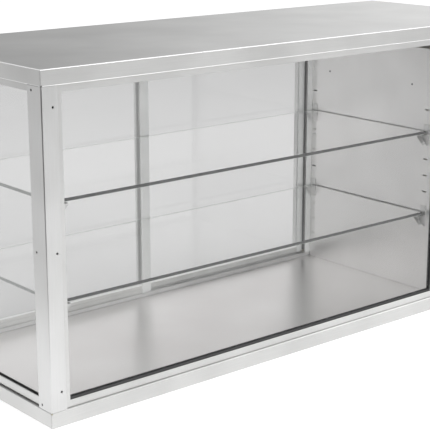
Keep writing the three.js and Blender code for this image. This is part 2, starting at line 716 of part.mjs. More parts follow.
// One sliding door: its glass held by two stiles and a bottom rail. The end stile has a finger grip.
function door(name, track, across, endFirst) {
  const front = trackFront + TRACK_WALL + track * trackPitch + (TRACK_GROOVE - DOOR_THICKNESS) / 2;
  const foot = onTray + TRACK_WALL + FIT;
  const high = [foot, standing[1] - TRACK_WALL - DOOR_TOP_PLAY];
  const railTop = foot + DOOR_BOTTOM_RAIL;
  const [endAt, meetAt] = endFirst ? across : [...across].reverse();
  const toward = endFirst ? 1 : -1;
  const glassDeep = [
    front + (DOOR_THICKNESS - DOOR_GLASS) / 2,
    front + (DOOR_THICKNESS + DOOR_GLASS) / 2,
  ];
  const grip = [[END_STILE - GRIP_WALL, END_STILE], [DOOR_THICKNESS - GRIP_WALL, DOOR_THICKNESS + GRIP_LIP]];
  const gripOutline = rectangle(...grip).map(([along, y]) => [endAt + toward * along, front + y]);
  const endStile = extrude("z", stileOutline(endAt, toward, front, END_STILE, 0), high);
  const gripHigh = [railTop, topFinFoot - FIT];
  const biteAcross = [END_STILE - DOOR_GLASS_BITE - FIT, END_STILE + FIT]
    .map((along) => endAt + toward * along)
    .sort((a, b) => a - b);
  const bite = block(biteAcross, widened(glassDeep, FIT), widened(high, OVERRUN));
  piece(`${name}_end_stile`, endStile.add(extrude("z", gripOutline, gripHigh)).subtract(bite), aluminium);
  const meeting = stileOutline(meetAt, -toward, front, MEETING_STILE, MEETING_STEP);
  piece(`${name}_meeting_stile`, extrude("z", meeting, high), aluminium);
  const between = [endAt + toward * (END_STILE + FIT), meetAt - toward * (MEETING_STILE + FIT)]
    .sort((a, b) => a - b);
  const lip = (DOOR_THICKNESS - DOOR_GLASS) / 2 - FIT;
  const rear = front + DOOR_THICKNESS;
  const floor = railTop - DOOR_GLASS_BITE - FIT;
  const railOutline = [
    [front, foot], [rear, foot], [rear, railTop], [rear - lip, railTop], [rear - lip, floor],
    [front + lip, floor], [front + lip, railTop], [front, railTop],
  ];
  piece(`${name}_bottom_rail`, extrude("x", railOutline, between), aluminium);
  const paneHigh = [railTop - DOOR_GLASS_BITE, high[1]];
  const pane = block(widened(between, FIT + DOOR_GLASS_BITE), glassDeep, paneHigh);
  piece(`${name}_glass`, pane, clearGlass);
}

function doors() {
  const clear = [trackEnds[0] + SHEET + DOOR_END_GAP, trackEnds[1] - SHEET - DOOR_END_GAP];
  const width = (clear[1] - clear[0] + MEETING_STILE) / 2;
  door("left_door", 0, [clear[0], clear[0] + width], true);
  door("right_door", 1, [clear[1] - width, clear[1]], false);
}

// Places in the machine bay
const machineX = (machineLeft + CABINET_WIDTH - PAN_RETURN) / 2;
const machineFloor = SHEET + FIT;
const rearFace = CABINET_DEPTH - FRAME_RECESS;
const condenserFoot = machineFloor + CONDENSER_RISE;
const condenserRear = rearFace - CONDENSER_FROM_REAR;
const shroudRear = condenserRear - CONDENSER_DEPTH - FIT;
const largeFanAt = [machineX, condenserFoot + CONDENSER_HEIGHT / 2];

// Where the two refrigerant pipes pass through the bulkhead, as places across Y and Z
const deckTop = partitionScrewZ + DECK_ABOVE_SCREW;
const evaporatorFoot = deckTop - EVAPORATOR_PLATE_ABOVE - EVAPORATOR_HEIGHT;
const evaporatorRear = slotColumns[1] - SLOT_WIDTH;
const deckFront = PARTITION_FRONT + SHEET + FIT;
const evaporatorDeep = [
  evaporatorRear - EVAPORATOR_SHARE * (evaporatorRear - deckFront),
  evaporatorRear,
];
const pipeHoles = [0, 1].map((i) => [
  evaporatorDeep[0] - PIPE_HOLE,
  evaporatorFoot + PIPE_HOLE + i * PIPE_HOLE_PITCH,
]);

// The cold duct's foam shell: one moulding with a front wall, the bulkhead and a rear wall
function ductShell() {
  const inside = panelPlane[1] + FIT;
  const frontLeft = mullionRight + 2 * FIT + SHEET;
  const rearLeft = trackEnds[1] + 3 * FIT + SHEET;
  const rearWall = CABINET_DEPTH - inside - DUCT_REAR_WALL;
  const outline = [
    [frontLeft, inside],
    [machineLeft, inside],
    [machineLeft, CABINET_DEPTH - inside],
    [rearLeft, CABINET_DEPTH - inside],
    [rearLeft, rearWall],
    [ductRight + FIT, rearWall],
    [ductRight + FIT, inside + DUCT_WALL],
    [frontLeft, inside + DUCT_WALL],
  ];
  let shell = extrude("z", outline, [onTray, standing[1]]);
  for (const hole of pipeHoles) {
    shell = shell.subtract(bar("x", hole, PIPE_HOLE / 2, widened([ductRight, machineLeft], OVERRUN)));
  }
  piece("duct_foam", shell, foam);
}

// A row of pressed louvres through an upright panel: a slot under a sloping hood for each
function louvred(panel, axis, face, along) {
  let made = panel;
  for (let i = 0; i < LOUVRE_COUNT; i += 1) {
    const low = LOUVRE_FOOT + i * LOUVRE_PITCH;
    const high = low + LOUVRE_SLOT;
    const slot = rectangle([face - SHEET - OVERRUN, face + OVERRUN], [low, high]);
    const hood = [
      [face - SHEET, high],
      [face + LOUVRE_HOOD - SHEET, low],
      [face + LOUVRE_HOOD, low],
      [face, high + SHEET],
      [face - SHEET, high + SHEET],
    ];
    made = made.subtract(extrude(axis, slot, along)).add(extrude(axis, hood, along));
  }
  return made;
}

// Places of the controls on the rear service panel
const controlX = machineX;
const switchZ = KNOB_RISE - SWITCH_BELOW_KNOB;
const pocketAcross = widened([controlX, controlX], CONTROL_WIDTH / 2);
const pocketHigh = widened([switchZ, KNOB_RISE], CONTROL_MARGIN);

// The three removable panels round the refrigeration bay
function servicePanels() {
  const frontLine = [
    [mullionRight + FIT, panelPlane[0] + PANEL_FOLD],
    [mullionRight + FIT, panelPlane[0]],
    [machineRight, panelPlane[0]],
    [machineRight, panelPlane[0] + PANEL_FOLD],
  ];
  let front = extrude("z", bentSheet(frontLine), standing);
  const rearLeft = trackEnds[1] + 2 * FIT;
  const rearLine = [
    [rearLeft, rearFace - PANEL_FOLD],
    [rearLeft, rearFace],
    [machineRight, rearFace],
    [machineRight, rearFace - PANEL_FOLD],
  ];
  let rear = extrude("z", bentSheet(rearLine.reverse()), standing);
  const screwRows = [standing[0] + PANEL_SCREW_EDGE, midHeight, standing[1] - PANEL_SCREW_EDGE];
  for (const z of screwRows) {
    for (const x of [mullionRight + PANEL_SCREW_EDGE, CABINET_WIDTH - POST_FRONT - PANEL_SCREW_EDGE]) {
      const through = widened(panelPlane, OVERRUN);
      front = front.subtract(bar("y", [x, z], PANEL_SCREW / 2, through));
      rear = rear.subtract(bar("y", [x, z], PANEL_SCREW / 2, flipped(through, CABINET_DEPTH)));
    }
  }
  const louvreX = [controlX - LOUVRE_LENGTH / 2, controlX + LOUVRE_LENGTH / 2];
  rear = louvred(rear, "x", rearFace, louvreX);
  const through = [rearFace - SHEET - OVERRUN, rearFace + OVERRUN];
  rear = rear.subtract(extrude("y", rectangle(pocketAcross, pocketHigh), through));
  rear = rear.subtract(bar("y", [controlX, GLAND_RISE], GLAND_NECK + FIT, through));
  piece("front_service_panel", front, steel);
  piece("rear_service_panel", rear, steel);
  const sideFace = CABINET_WIDTH - FRAME_RECESS;
  const sideHigh = [BASE_HEIGHT + SIDE_SHADOW_GAP, standing[1]];
  let side = block([sideFace - SHEET, sideFace], [panelPlane[0], rearFace], sideHigh);
  const first = (CABINET_DEPTH - SIDE_LOUVRE_COLUMNS * SIDE_LOUVRE_LENGTH - SIDE_LOUVRE_GUTTER) / 2;
  for (let i = 0; i < SIDE_LOUVRE_COLUMNS; i += 1) {
    const low = first + i * (SIDE_LOUVRE_LENGTH + SIDE_LOUVRE_GUTTER);
    side = louvred(side, "y", sideFace, [low, low + SIDE_LOUVRE_LENGTH]);
  }
  piece("right_side_panel", side, steel);
}

// A finned coil whose fins stand across Y: a comb run upward, and return bends at its two ends
function finnedCoil([x0, x1], [y0, y1], high, fins, pipes) {
  const pitch = (y1 - y0 - COIL_FIN) / (fins - 1);
  const middle = (x0 + x1) / 2;
  const spine = [middle - COIL_SPINE / 2, middle + COIL_SPINE / 2];
  const edge = (side, order) => order.flatMap((i) => {
    const low = y0 + i * pitch;
    const ends = [low, low + COIL_FIN];
    const [near, far] = side === x1 ? ends : [...ends].reverse();
    const root = side === x1 ? spine[1] : spine[0];
    return [[root, near], [side, near], [side, far], [root, far]];
  });
  const up = Array.from({ length: fins }, (_, i) => i);
  let coil = extrude("z", [...edge(x1, up), ...edge(x0, [...up].reverse())], high);
  const rows = COIL_BENDS * 2;
  const rise = (high[1] - high[0]) / rows;
  const reach = rise / 2;
  for (let i = 0; i < COIL_BENDS * 2 - 1; i += 1) {
    const z = high[0] + rise * (i + 1);
    const [from, out] = i % 2 ? [y0 + COIL_FIN / 2, -1] : [y1 - COIL_FIN / 2, 1];
    const bend = new THREE.TorusGeometry(reach, pipes / 2, ROUND_STEPS, ROUND_STEPS);
    bend.rotateY(Math.PI / 2);
    bend.translate(middle, from, z);
    const outward = [from, from + out * (reach + pipes)].sort((a, b) => a - b);
    const half = block([x0, x1], outward, widened([z, z], reach + pipes));
    coil = coil.add(solid(bend).intersect(half));
  }
  return coil;
}

// Evaporator: its mounting plate is screwed to the back of the partition, and its fins hang beside it
function evaporator() {
  const plate = [ductLeft, ductLeft + SHEET];
  const fins = [plate[1] - FIN_EMBED, ductLeft + EVAPORATOR_WIDTH];
  const high = [evaporatorFoot, evaporatorFoot + EVAPORATOR_HEIGHT];
  const coil = finnedCoil(fins, evaporatorDeep, high, EVAPORATOR_FINS, COIL_TUBE);
  let back = block(plate, evaporatorDeep, [high[0], high[1] + EVAPORATOR_PLATE_ABOVE]);
  back = back.subtract(bar("x", partitionScrews[1], PARTITION_SCREW / 2, widened(plate, OVERRUN)));
  piece("evaporator_coil", coil.add(back), aluminium);
}

// A fan blade's outline, as shares of its length from the hub and of the rotor's depth. The two curves
// bend halfway along.
const bladeShares = { root: 0.5, frontBend: -0.9, frontTip: -0.5, rearTip: 0.7, rearBend: 0.8 };

// An axial fan's bladed rotor about its own Z axis, its hub's face at zero
function rotor(bore, hub, depth, blades) {
  const tip = bore / 2 - FAN_TIP_GAP;
  const bladeLength = tip - hub / 2 + FAN_BLADE;
  const pieces = [bar("z", [0, 0], hub / 2, [0, depth])];
  for (let i = 0; i < blades; i += 1) {
    const outline = new THREE.Shape();
    outline.moveTo(0, -depth * bladeShares.root);
    outline.quadraticCurveTo(
      bladeLength / 2,
      depth * bladeShares.frontBend,
      bladeLength,
      depth * bladeShares.frontTip,
    );
    outline.lineTo(bladeLength, depth * bladeShares.rearTip);
    outline.quadraticCurveTo(bladeLength / 2, depth * bladeShares.rearBend, 0, depth * bladeShares.root);
    const blade = new THREE.ExtrudeGeometry(outline, {
      depth: FAN_BLADE,
      bevelEnabled: false,
      curveSegments: COARSE_STEPS,
    });
    blade.translate(hub / 2 - FAN_BLADE, 0, -FAN_BLADE / 2);
    blade.rotateX(THREE.MathUtils.degToRad(FAN_BLADE_PITCH_DEGREES));
    blade.translate(0, 0, depth / 2);
    blade.rotateZ((2 * Math.PI * i) / blades);
    pieces.push(solid(blade));
  }
  return joined(pieces).intersect(bar("z", [0, 0], tip, [0, depth], FINE_STEPS));
}

// Fan deck: a folded sheet across the front half of the duct. Its down fold is screwed to the partition,
// and its rear edge is turned up to the ceiling to part the supply air from the return air.
const deckDeep = [deckFront, evaporatorDeep[0] - EVAPORATOR_GAP];
const fanCentre = [(ductLeft + ductRight) / 2, (deckDeep[0] + deckDeep[1]) / 2];
const fanHigh = [deckTop - SHEET - FIT - SMALL_FAN_DEPTH, deckTop - SHEET - FIT];

function fanDeck() {
  const deck = block([ductLeft, ductRight], deckDeep, [deckTop - SHEET, deckTop]);
  const fold = block([ductLeft, ductLeft + SHEET], deckDeep, [deckTop - DECK_FOLD, deckTop]);
  const rearEdge = [deckDeep[1] - SHEET, deckDeep[1]];
  const divider = block([ductLeft, ductRight], rearEdge, [deckTop - SHEET, standing[1]]);
  const throughDeck = [deckTop - SHEET - OVERRUN, deckTop + OVERRUN];
  const hole = bar("z", fanCentre, SMALL_FAN_BORE / 2, throughDeck, FINE_STEPS);
  const throughFold = [ductLeft - OVERRUN, ductLeft + SHEET + OVERRUN];
  const screw = bar("x", partitionScrews[0], PARTITION_SCREW / 2, throughFold);
  piece("fan_deck", joined([deck, fold, divider]).subtract(hole).subtract(screw), steel);
}

// A square axial fan frame with its bore, corner screw holes, motor cup and struts
function smallFan() {
  const half = SMALL_FAN / 2;
  const across = widened([fanCentre[0], fanCentre[0]], half);
  const deep = widened([fanCentre[1], fanCentre[1]], half);
  let frame = block(across, deep, fanHigh);
  const through = widened(fanHigh, OVERRUN);
  frame = frame.subtract(bar("z", fanCentre, SMALL_FAN_BORE / 2, through, FINE_STEPS));
  for (const x of widened(across, -FAN_SCREW_EDGE)) {
    for (const y of widened(deep, -FAN_SCREW_EDGE)) {
      frame = frame.subtract(bar("z", [x, y], FAN_SCREW / 2, through, COARSE_STEPS));
    }
  }
  const strutHigh = [fanHigh[0], fanHigh[0] + FAN_STRUT];
  const struts = [
    block(across, widened([fanCentre[1], fanCentre[1]], FAN_STRUT / 2), strutHigh),
    block(widened([fanCentre[0], fanCentre[0]], FAN_STRUT / 2), deep, strutHigh),
    bar("z", fanCentre, SMALL_FAN_HUB / 2, strutHigh, FINE_STEPS),
  ];
  piece("evaporator_fan_frame", frame.add(joined(struts)), blackPlastic);
  const seat = [...fanCentre, strutHigh[1] + FIT];
  const depth = SMALL_FAN_DEPTH - FAN_STRUT - 2 * FIT;
  const blades = rotor(SMALL_FAN_BORE, SMALL_FAN_HUB, depth, SMALL_FAN_BLADES);
  piece("evaporator_fan_rotor", blades, blackPlastic, seat);
}

// Compressor: a welded can with a lip round its waist, on a foot plate and rubber grommets
const canShares = [
  [0, 0], [0.6, 0], [0.86, 0.05], [0.97, 0.16], [1, 0.3],
  [1, 0.74], [0.96, 0.86], [0.84, 0.95], [0.6, 1], [0, 1],
];

function compressor() {
  const foot = machineFloor + COMPRESSOR_LIFT;
  const body = foot + COMPRESSOR_FOOT_SHEET - FIT;
  const profile = canShares.map(([r, z]) => [r * COMPRESSOR_RADIUS, z * COMPRESSOR_HEIGHT]);
  const centre = [machineX, COMPRESSOR_FROM_FRONT];
  const can = revolve(profile, [...centre, body]);
  const waist = body + COMPRESSOR_HEIGHT / 2;
  const bandHigh = [waist, waist + COMPRESSOR_BAND_HEIGHT];
  const band = bar("z", centre, COMPRESSOR_RADIUS + COMPRESSOR_BAND, bandHigh, FINE_STEPS);
  const plateX = widened([centre[0], centre[0]], COMPRESSOR_FOOT_WIDTH / 2);
  const plateY = widened([centre[1], centre[1]], COMPRESSOR_FOOT_LENGTH / 2);
  const plate = block(plateX, plateY, [foot, foot + COMPRESSOR_FOOT_SHEET]);
  const padHigh = [machineFloor, foot + FIT];
  const pads = widened(plateX, -GROMMET_INSET).flatMap((x) =>
    widened(plateY, -GROMMET_INSET).map((y) => bar("z", [x, y], GROMMET_RADIUS, padHigh)));
  const terminalTop = waist - COMPRESSOR_BAND_HEIGHT;
  const terminalY = centre[1] + COMPRESSOR_RADIUS - TERMINAL_DEPTH / 2;
  const terminal = block(
    widened([centre[0], centre[0]], TERMINAL_WIDTH / 2),
    [terminalY, terminalY + TERMINAL_DEPTH],
    [terminalTop - TERMINAL_HEIGHT, terminalTop],
  );
  const outX = centre[0] + COMPRESSOR_RADIUS / 2;
  const overFan = condenserFoot + CONDENSER_HEIGHT + DISCHARGE_RISE;
  const discharge = pipe([
    [outX, centre[1], body + COMPRESSOR_HEIGHT - BEND],
    [outX, centre[1], overFan],
    [outX, condenserRear - CONDENSER_DEPTH / 2, overFan],
    [outX, condenserRear - CONDENSER_DEPTH / 2, condenserFoot + CONDENSER_HEIGHT + FIT],
  ], PIPE / 2);
  piece("compressor", joined([can, band, plate, ...pads, terminal, discharge]), blackPaint);
}

// Condenser: a finned coil that stands in front of the rear louvres, on a foot plate
function condenser() {
  const across = widened([machineX, machineX], CONDENSER_WIDTH / 2);
  const deep = [condenserRear - CONDENSER_DEPTH, condenserRear];
  const high = [condenserFoot, condenserFoot + CONDENSER_HEIGHT];
  const pitch = (CONDENSER_WIDTH - COIL_FIN) / (CONDENSER_FINS - 1);
  const middle = (deep[0] + deep[1]) / 2;
  const spine = widened([middle, middle], COIL_SPINE / 2);
  const forward = Array.from({ length: CONDENSER_FINS }, (_, i) => across[0] + i * pitch);
  const near = forward.flatMap((x) => [
    [x, spine[0]], [x, deep[0]], [x + COIL_FIN, deep[0]], [x + COIL_FIN, spine[0]],
  ]);
  const far = [...forward].reverse().flatMap((x) => [
    [x + COIL_FIN, spine[1]], [x + COIL_FIN, deep[1]], [x, deep[1]], [x, spine[1]],
  ]);
  const fins = extrude("z", [...near, ...far], high);
  const foot = block(across, deep, [machineFloor, machineFloor + SHEET]);
  const legs = [across[0], across[1] - COIL_FIN].map((x) =>
    block([x, x + COIL_FIN], deep, [machineFloor, condenserFoot + OVERRUN]));
  piece("condenser_coil", joined([fins, foot, ...legs]), aluminium);
}

// Condenser fan: a shroud on the coil's front face with its motor on struts, and its rotor in the bore
function largeFan() {
  const across = widened([machineX, machineX], CONDENSER_WIDTH / 2);
  const deep = [shroudRear - SHROUD_DEPTH, shroudRear];
  const high = [machineFloor, condenserFoot + CONDENSER_HEIGHT];
  let shroud = block(across, deep, high);
  shroud = shroud.subtract(bar("y", largeFanAt, LARGE_FAN_BORE / 2, widened(deep, OVERRUN), FINE_STEPS));
  const under = [machineFloor - OVERRUN, condenserFoot - SHEET];
  shroud = shroud.subtract(block(widened(across, -SHROUD_FOOT), widened(deep, OVERRUN), under));
  const strutDeep = [deep[0], deep[0] + FAN_STRUT];
  const struts = [
    block(across, strutDeep, widened([largeFanAt[1], largeFanAt[1]], FAN_STRUT / 2)),
    bar("y", largeFanAt, LARGE_FAN_HUB / 2, strutDeep, FINE_STEPS),
  ];
  piece("condenser_fan_shroud", shroud.add(joined(struts)), blackPlastic);
  const seat = [largeFanAt[0], strutDeep[1] + FIT + LARGE_FAN_DEPTH, largeFanAt[1]];
  const blades = rotor(LARGE_FAN_BORE, LARGE_FAN_HUB, LARGE_FAN_DEPTH, LARGE_FAN_BLADES);
  piece("condenser_fan_rotor", blades, blackPlastic, seat, [Math.PI / 2, 0, 0]);
}

// Condensate tray between the compressor and the condenser
function dripTray() {
  const across = widened([machineX, machineX], DRIP_TRAY_WIDTH / 2);
  const compressorRear = COMPRESSOR_FROM_FRONT + COMPRESSOR_FOOT_LENGTH / 2;
  const room = shroudRear - SHROUD_DEPTH - compressorRear;
  const front = compressorRear + DRIP_TRAY_FRONT_GAP;
  const deep = [front, front + DRIP_TRAY_SHARE * room];
  const high = [machineFloor, machineFloor + DRIP_TRAY_HEIGHT];
  const hollow = [high[0] + DRIP_TRAY_WALL, high[1] + OVERRUN];
  const tray = block(across, deep, high);
  const inner = block(widened(across, -DRIP_TRAY_WALL), widened(deep, -DRIP_TRAY_WALL), hollow);
  piece("drip_tray", tray.subtract(inner), blackPlastic);
}

// Refrigerant pipes: the suction pipe down to the compressor, and the liquid pipe with its filter drier
function pipes() {
  const turnX = ductRight + FIT + BULKHEAD + BEND;
  const coilFace = ductLeft + EVAPORATOR_WIDTH + FIT;
  const [low, high] = pipeHoles;
  const canTop = machineFloor + COMPRESSOR_LIFT + COMPRESSOR_FOOT_SHEET + COMPRESSOR_HEIGHT;
  const suction = pipe([
    [coilFace, evaporatorDeep[0] + COIL_STUB, high[1]],
    [coilFace + BEND / 2, evaporatorDeep[0] + COIL_STUB, high[1]],
    [coilFace + BEND / 2, high[0], high[1]],
    [turnX, high[0], high[1]],
    [turnX, COMPRESSOR_FROM_FRONT, high[1]],
    [machineX, COMPRESSOR_FROM_FRONT, high[1]],
    [machineX, COMPRESSOR_FROM_FRONT, canTop],
  ], PIPE / 2);
  piece("suction_pipe", suction, copper);
  const drierX = machineX - DRIER_OFFSET;
  const coilY = condenserRear - CONDENSER_DEPTH / 2;
  const coilTop = condenserFoot + CONDENSER_HEIGHT + FIT;
  const liquid = pipe([
    [drierX, coilY, coilTop],
    [drierX, coilY, low[1]],
    [drierX, low[0], low[1]],
    [coilFace + BEND / 2, low[0], low[1]],
    [coilFace + BEND / 2, evaporatorDeep[0] + COIL_STUB, low[1]],
    [coilFace, evaporatorDeep[0] + COIL_STUB, low[1]],
  ], PIPE / 2);
  const drier = bar("z", [drierX, coilY], DRIER / 2, [coilTop + BEND, coilTop + BEND + DRIER_LENGTH]);
  piece("liquid_pipe", liquid.add(drier), copper);
}

// Control housing: a cup behind the rear service panel whose pocket holds the knob and the switch
const pocketFloor = rearFace - SHEET - FIT - CONTROL_POCKET;

function controls() {
  const deep = [rearFace - SHEET - FIT - CONTROL_DEPTH, rearFace - SHEET - FIT];
  const window = extrude(
    "y",
    rectangle(
      widened([controlX, controlX], SWITCH_WIDTH / 2),
      widened([switchZ, switchZ], SWITCH_WINDOW / 2),
    ),
    [pocketFloor - SWITCH_REACH - FIT, pocketFloor + OVERRUN],
  );
  const socketDeep = [deep[0] + CONTROL_WALL, pocketFloor + OVERRUN];
  const socket = bar("y", [controlX, KNOB_RISE], KNOB_SHAFT / 2 + FIT, socketDeep);
  const pocket = block(pocketAcross, [pocketFloor, deep[1] + OVERRUN], pocketHigh);
  const housing = block(widened(pocketAcross, CONTROL_WALL), deep, widened(pocketHigh, CONTROL_WALL));
  piece("control_housing", housing.subtract(pocket).subtract(window).subtract(socket), blackPlastic);
}

// Thermostat knob: a fluted grip on the thermostat's shaft
function knob() {
  const grip = new THREE.Shape();
  for (let i = 0; i < 2 * KNOB_FLUTES; i += 1) {
    const angle = (i * Math.PI) / KNOB_FLUTES;
    const radius = KNOB_RADIUS - (i % 2 ? KNOB_FLUTE : 0);
    grip[i ? "lineTo" : "moveTo"](controlX + radius * Math.sin(angle), KNOB_RISE + radius * Math.cos(angle));
  }
  const foot = pocketFloor + FIT;
  const shaftFoot = rearFace - SHEET - CONTROL_DEPTH + CONTROL_WALL;
  const shaft = bar("y", [controlX, KNOB_RISE], KNOB_SHAFT / 2, [shaftFoot, foot + OVERRUN]);
  piece("thermostat_knob", extrude("y", grip, [foot, foot + KNOB_HEIGHT]).add(shaft), blackPlastic);
}

// Rocker switch: dished outside and round behind, tipped toward its off side, on a pivot along X
const rockerShares = [
  [0.33, 0], [0.47, 1], [-0.22, 1], [-0.67, 0.56], [-0.78, 0], [-0.67, -0.56], [-0.22, -1], [0.47, -1],
];

function rocker() {
  const tilt = THREE.MathUtils.degToRad(ROCKER_TILT_DEGREES);
  const outline = rockerShares.map((share) => {
    const [y, z] = share.map((value) => value * SWITCH_REACH);
    return [
      pocketFloor + y * Math.cos(tilt) + z * Math.sin(tilt),
      switchZ - y * Math.sin(tilt) + z * Math.cos(tilt),
    ];
  });
  const across = widened([controlX, controlX], SWITCH_WIDTH / 2 - FIT);
  piece("power_switch", extrude("x", outline, across), blackPlastic);
}

// Cord gland: the cord's inlet, a flanged bush through the rear panel with its nut inside
function gland() {
  const at = [controlX, GLAND_RISE];
  const inside = rearFace - SHEET - FIT;
  const end = rearFace + FIT + GLAND_FLANGE;
  const flange = bar("y", at, GLAND_RADIUS, [rearFace + FIT, end]);
  const neck = bar("y", at, GLAND_NECK, [inside - GLAND_LENGTH, end]);
  const nut = bar("y", at, GLAND_RADIUS, [inside - GLAND_FLANGE, inside], HEXAGON_STEPS);
  const bore = bar("y", at, GLAND_BORE / 2, [inside - GLAND_LENGTH - OVERRUN, end + OVERRUN]);
  piece("cord_gland", joined([flange, neck, nut]).subtract(bore), blackPlastic);
}

base();
roof();
cornerPost("front_left_post", true, true);
cornerPost("front_right_post", false, true);
cornerPost("rear_left_post", true, false);
cornerPost("rear_right_post", false, false);
glazing();
floorTray();
upright("front_left_upright", [uprightFace, uprightFace + UPRIGHT_DEPTH], slotColumns[0]);
upright("rear_left_upright", [partitionRear - UPRIGHT_DEPTH, partitionRear], slotColumns[1]);
partition();
shelves();
tracks();
jambs();
doors();
ductShell();
servicePanels();
evaporator();
fanDeck();
smallFan();
compressor();
condenser();
largeFan();
dripTray();
pipes();
controls();
knob();
rocker();
gland();

export default cabinet;
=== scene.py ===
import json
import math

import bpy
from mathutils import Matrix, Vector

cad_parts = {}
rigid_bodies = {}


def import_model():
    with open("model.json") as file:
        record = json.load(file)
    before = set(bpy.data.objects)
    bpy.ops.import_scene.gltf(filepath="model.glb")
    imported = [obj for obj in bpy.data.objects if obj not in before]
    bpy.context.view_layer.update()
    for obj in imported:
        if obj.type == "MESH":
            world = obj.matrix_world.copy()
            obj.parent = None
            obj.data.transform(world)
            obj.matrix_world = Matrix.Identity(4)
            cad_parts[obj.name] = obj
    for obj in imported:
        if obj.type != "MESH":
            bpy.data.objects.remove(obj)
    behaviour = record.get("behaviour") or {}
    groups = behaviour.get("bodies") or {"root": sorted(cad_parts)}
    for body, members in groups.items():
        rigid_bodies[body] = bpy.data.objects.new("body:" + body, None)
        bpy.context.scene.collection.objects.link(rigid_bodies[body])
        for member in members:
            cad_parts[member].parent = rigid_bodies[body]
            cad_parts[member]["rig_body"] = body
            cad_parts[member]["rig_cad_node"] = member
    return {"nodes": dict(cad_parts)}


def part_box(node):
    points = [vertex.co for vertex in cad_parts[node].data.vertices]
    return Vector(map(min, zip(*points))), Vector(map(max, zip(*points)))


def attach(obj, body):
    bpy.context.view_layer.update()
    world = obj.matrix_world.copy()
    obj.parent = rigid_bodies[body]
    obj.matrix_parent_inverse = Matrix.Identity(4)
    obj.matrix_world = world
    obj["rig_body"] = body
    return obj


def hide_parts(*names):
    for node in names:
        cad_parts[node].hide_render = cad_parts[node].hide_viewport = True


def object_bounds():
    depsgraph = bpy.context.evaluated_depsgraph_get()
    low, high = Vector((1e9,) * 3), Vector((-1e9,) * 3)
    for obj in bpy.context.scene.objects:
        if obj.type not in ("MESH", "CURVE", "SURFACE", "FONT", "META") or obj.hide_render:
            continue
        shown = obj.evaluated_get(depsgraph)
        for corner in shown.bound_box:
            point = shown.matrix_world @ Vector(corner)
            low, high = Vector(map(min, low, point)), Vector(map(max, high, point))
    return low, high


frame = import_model()

# %% [markdown]
# # A countertop refrigerated display case
# The real case is a glazed box with two glass shelves and two sliding rear doors, beside a closed bay
# that holds the refrigeration. Its frame is folded stainless sheet, so nearly every visible piece is a
# thin sheet with rounded bends, a pane of glass or an aluminium profile.
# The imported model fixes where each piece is. The cells below give those pieces their bends, edges,
# screws, seals and finishes, and then light and frame them as in a studio photograph.

cad_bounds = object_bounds()
MM = 0.001
corner = Vector(cad_bounds[0])
far_corner = Vector(cad_bounds[1])
print("the case measures", [round(s / MM, 1) for s in far_corner - corner], "mm")

# %% [markdown]
# Places are easier to read in millimetres from the front left foot of the case, as a maker would
# measure them with a rule. One function turns such a place into the scene's metres.

# %% Places in millimetres
def place(x, y, z):
    return corner + Vector((x, y, z)) * MM


def rule(node):
    """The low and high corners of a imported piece, in millimetres from the front left foot."""
    low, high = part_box(node)
    return (low - corner) / MM, (high - corner) / MM


print("the roof's lower edge is", round(rule("roof_cover")[0].z, 1), "mm above the table")

# %% [markdown]
# ## Finishes
# Colours are written as they look on a screen, in hexadecimal, and one function turns them into the
# linear numbers that the renderer works with. A second function adds one node with its settings and
# its links, so that each finish below reads as a list of what it is made of. Most finishes vary
# between two close tones, so the noise and the ramp that do this have a function each.

# %% Helpers for finishes
def linear(hexadecimal):
    shown = [int(hexadecimal[i:i + 2], 16) / 255 for i in (1, 3, 5)]
    return [c / 12.92 if c <= 0.04045 else ((c + 0.055) / 1.055) ** 2.4 for c in shown] + [1]


def add(tree, kind, settings=None, links=None, **values):
    """Adds a node: values are its options, settings its sockets, and links what feeds its sockets."""
    node = tree.nodes.new(kind)
    for option, value in values.items():
        setattr(node, option, value)
    for socket, value in (settings or {}).items():
        node.inputs[socket].default_value = value
    for socket, source in (links or {}).items():
        tree.links.new(source, node.inputs[socket])
    return node


def new_finish(name):
    """An empty material, its nodes, and the coordinates that its patterns are laid out by."""
    material = bpy.data.materials.new(name)
    material.use_nodes = True
    tree = material.node_tree
    tree.nodes.clear()
    return material, tree, add(tree, "ShaderNodeTexCoord").outputs["Object"]


def surface(material, shader):
    """Ends a material in this shader and hands the material back."""
    add(material.node_tree, "ShaderNodeOutputMaterial", {}, {"Surface": shader.outputs[0]})
    return material


def noise(tree, where, size, detail):
    """Soft noise whose patches are about this size."""
    settings = {"Scale": 1 / size, "Detail": detail}
    return add(tree, "ShaderNodeTexNoise", settings, {"Vector": where}).outputs[0]


def two_tone(tree, pattern, dark, pale, low=0, high=1):
    """A colour that runs from dark to pale while the pattern runs from low to high."""
    ramp = add(tree, "ShaderNodeValToRGB", {}, {"Fac": pattern})
    for stop, position, tone in zip(ramp.color_ramp.elements, (low, high), (dark, pale)):
        stop.position = position
        stop.color = linear(tone)
    return ramp.outputs[0]


print("white is", [round(c, 3) for c in linear("#ffffff")])

# %% [markdown]
# **Brushed stainless steel** (grade 304, dry brushed with a 180 grit belt) is what the frame is folded
# from. The belt leaves fine scratches that all run along the sheet, about 0.1 mm apart. They are drawn
# several times coarser here, so that they show at this image size. The scratches spread a reflection
# across themselves, which is why the steel looks soft and grey in place of mirror bright.
# A noise that is stretched along the sheet gives the scratches, and a broad, faint noise gives the
# clouding that handling and rolling leave behind.

# %% Brushed stainless steel
SCRATCH = 0.9 * MM
SCRATCH_DEPTH = 0.02 * MM
ALONG_THE_BELT = 0.012
SCRATCH_SHARE = 0.45
CLOUD = 160 * MM
DARKEST = 0.45
BRUSHED = 0.34
BRUSHED_SPREAD = 0.06


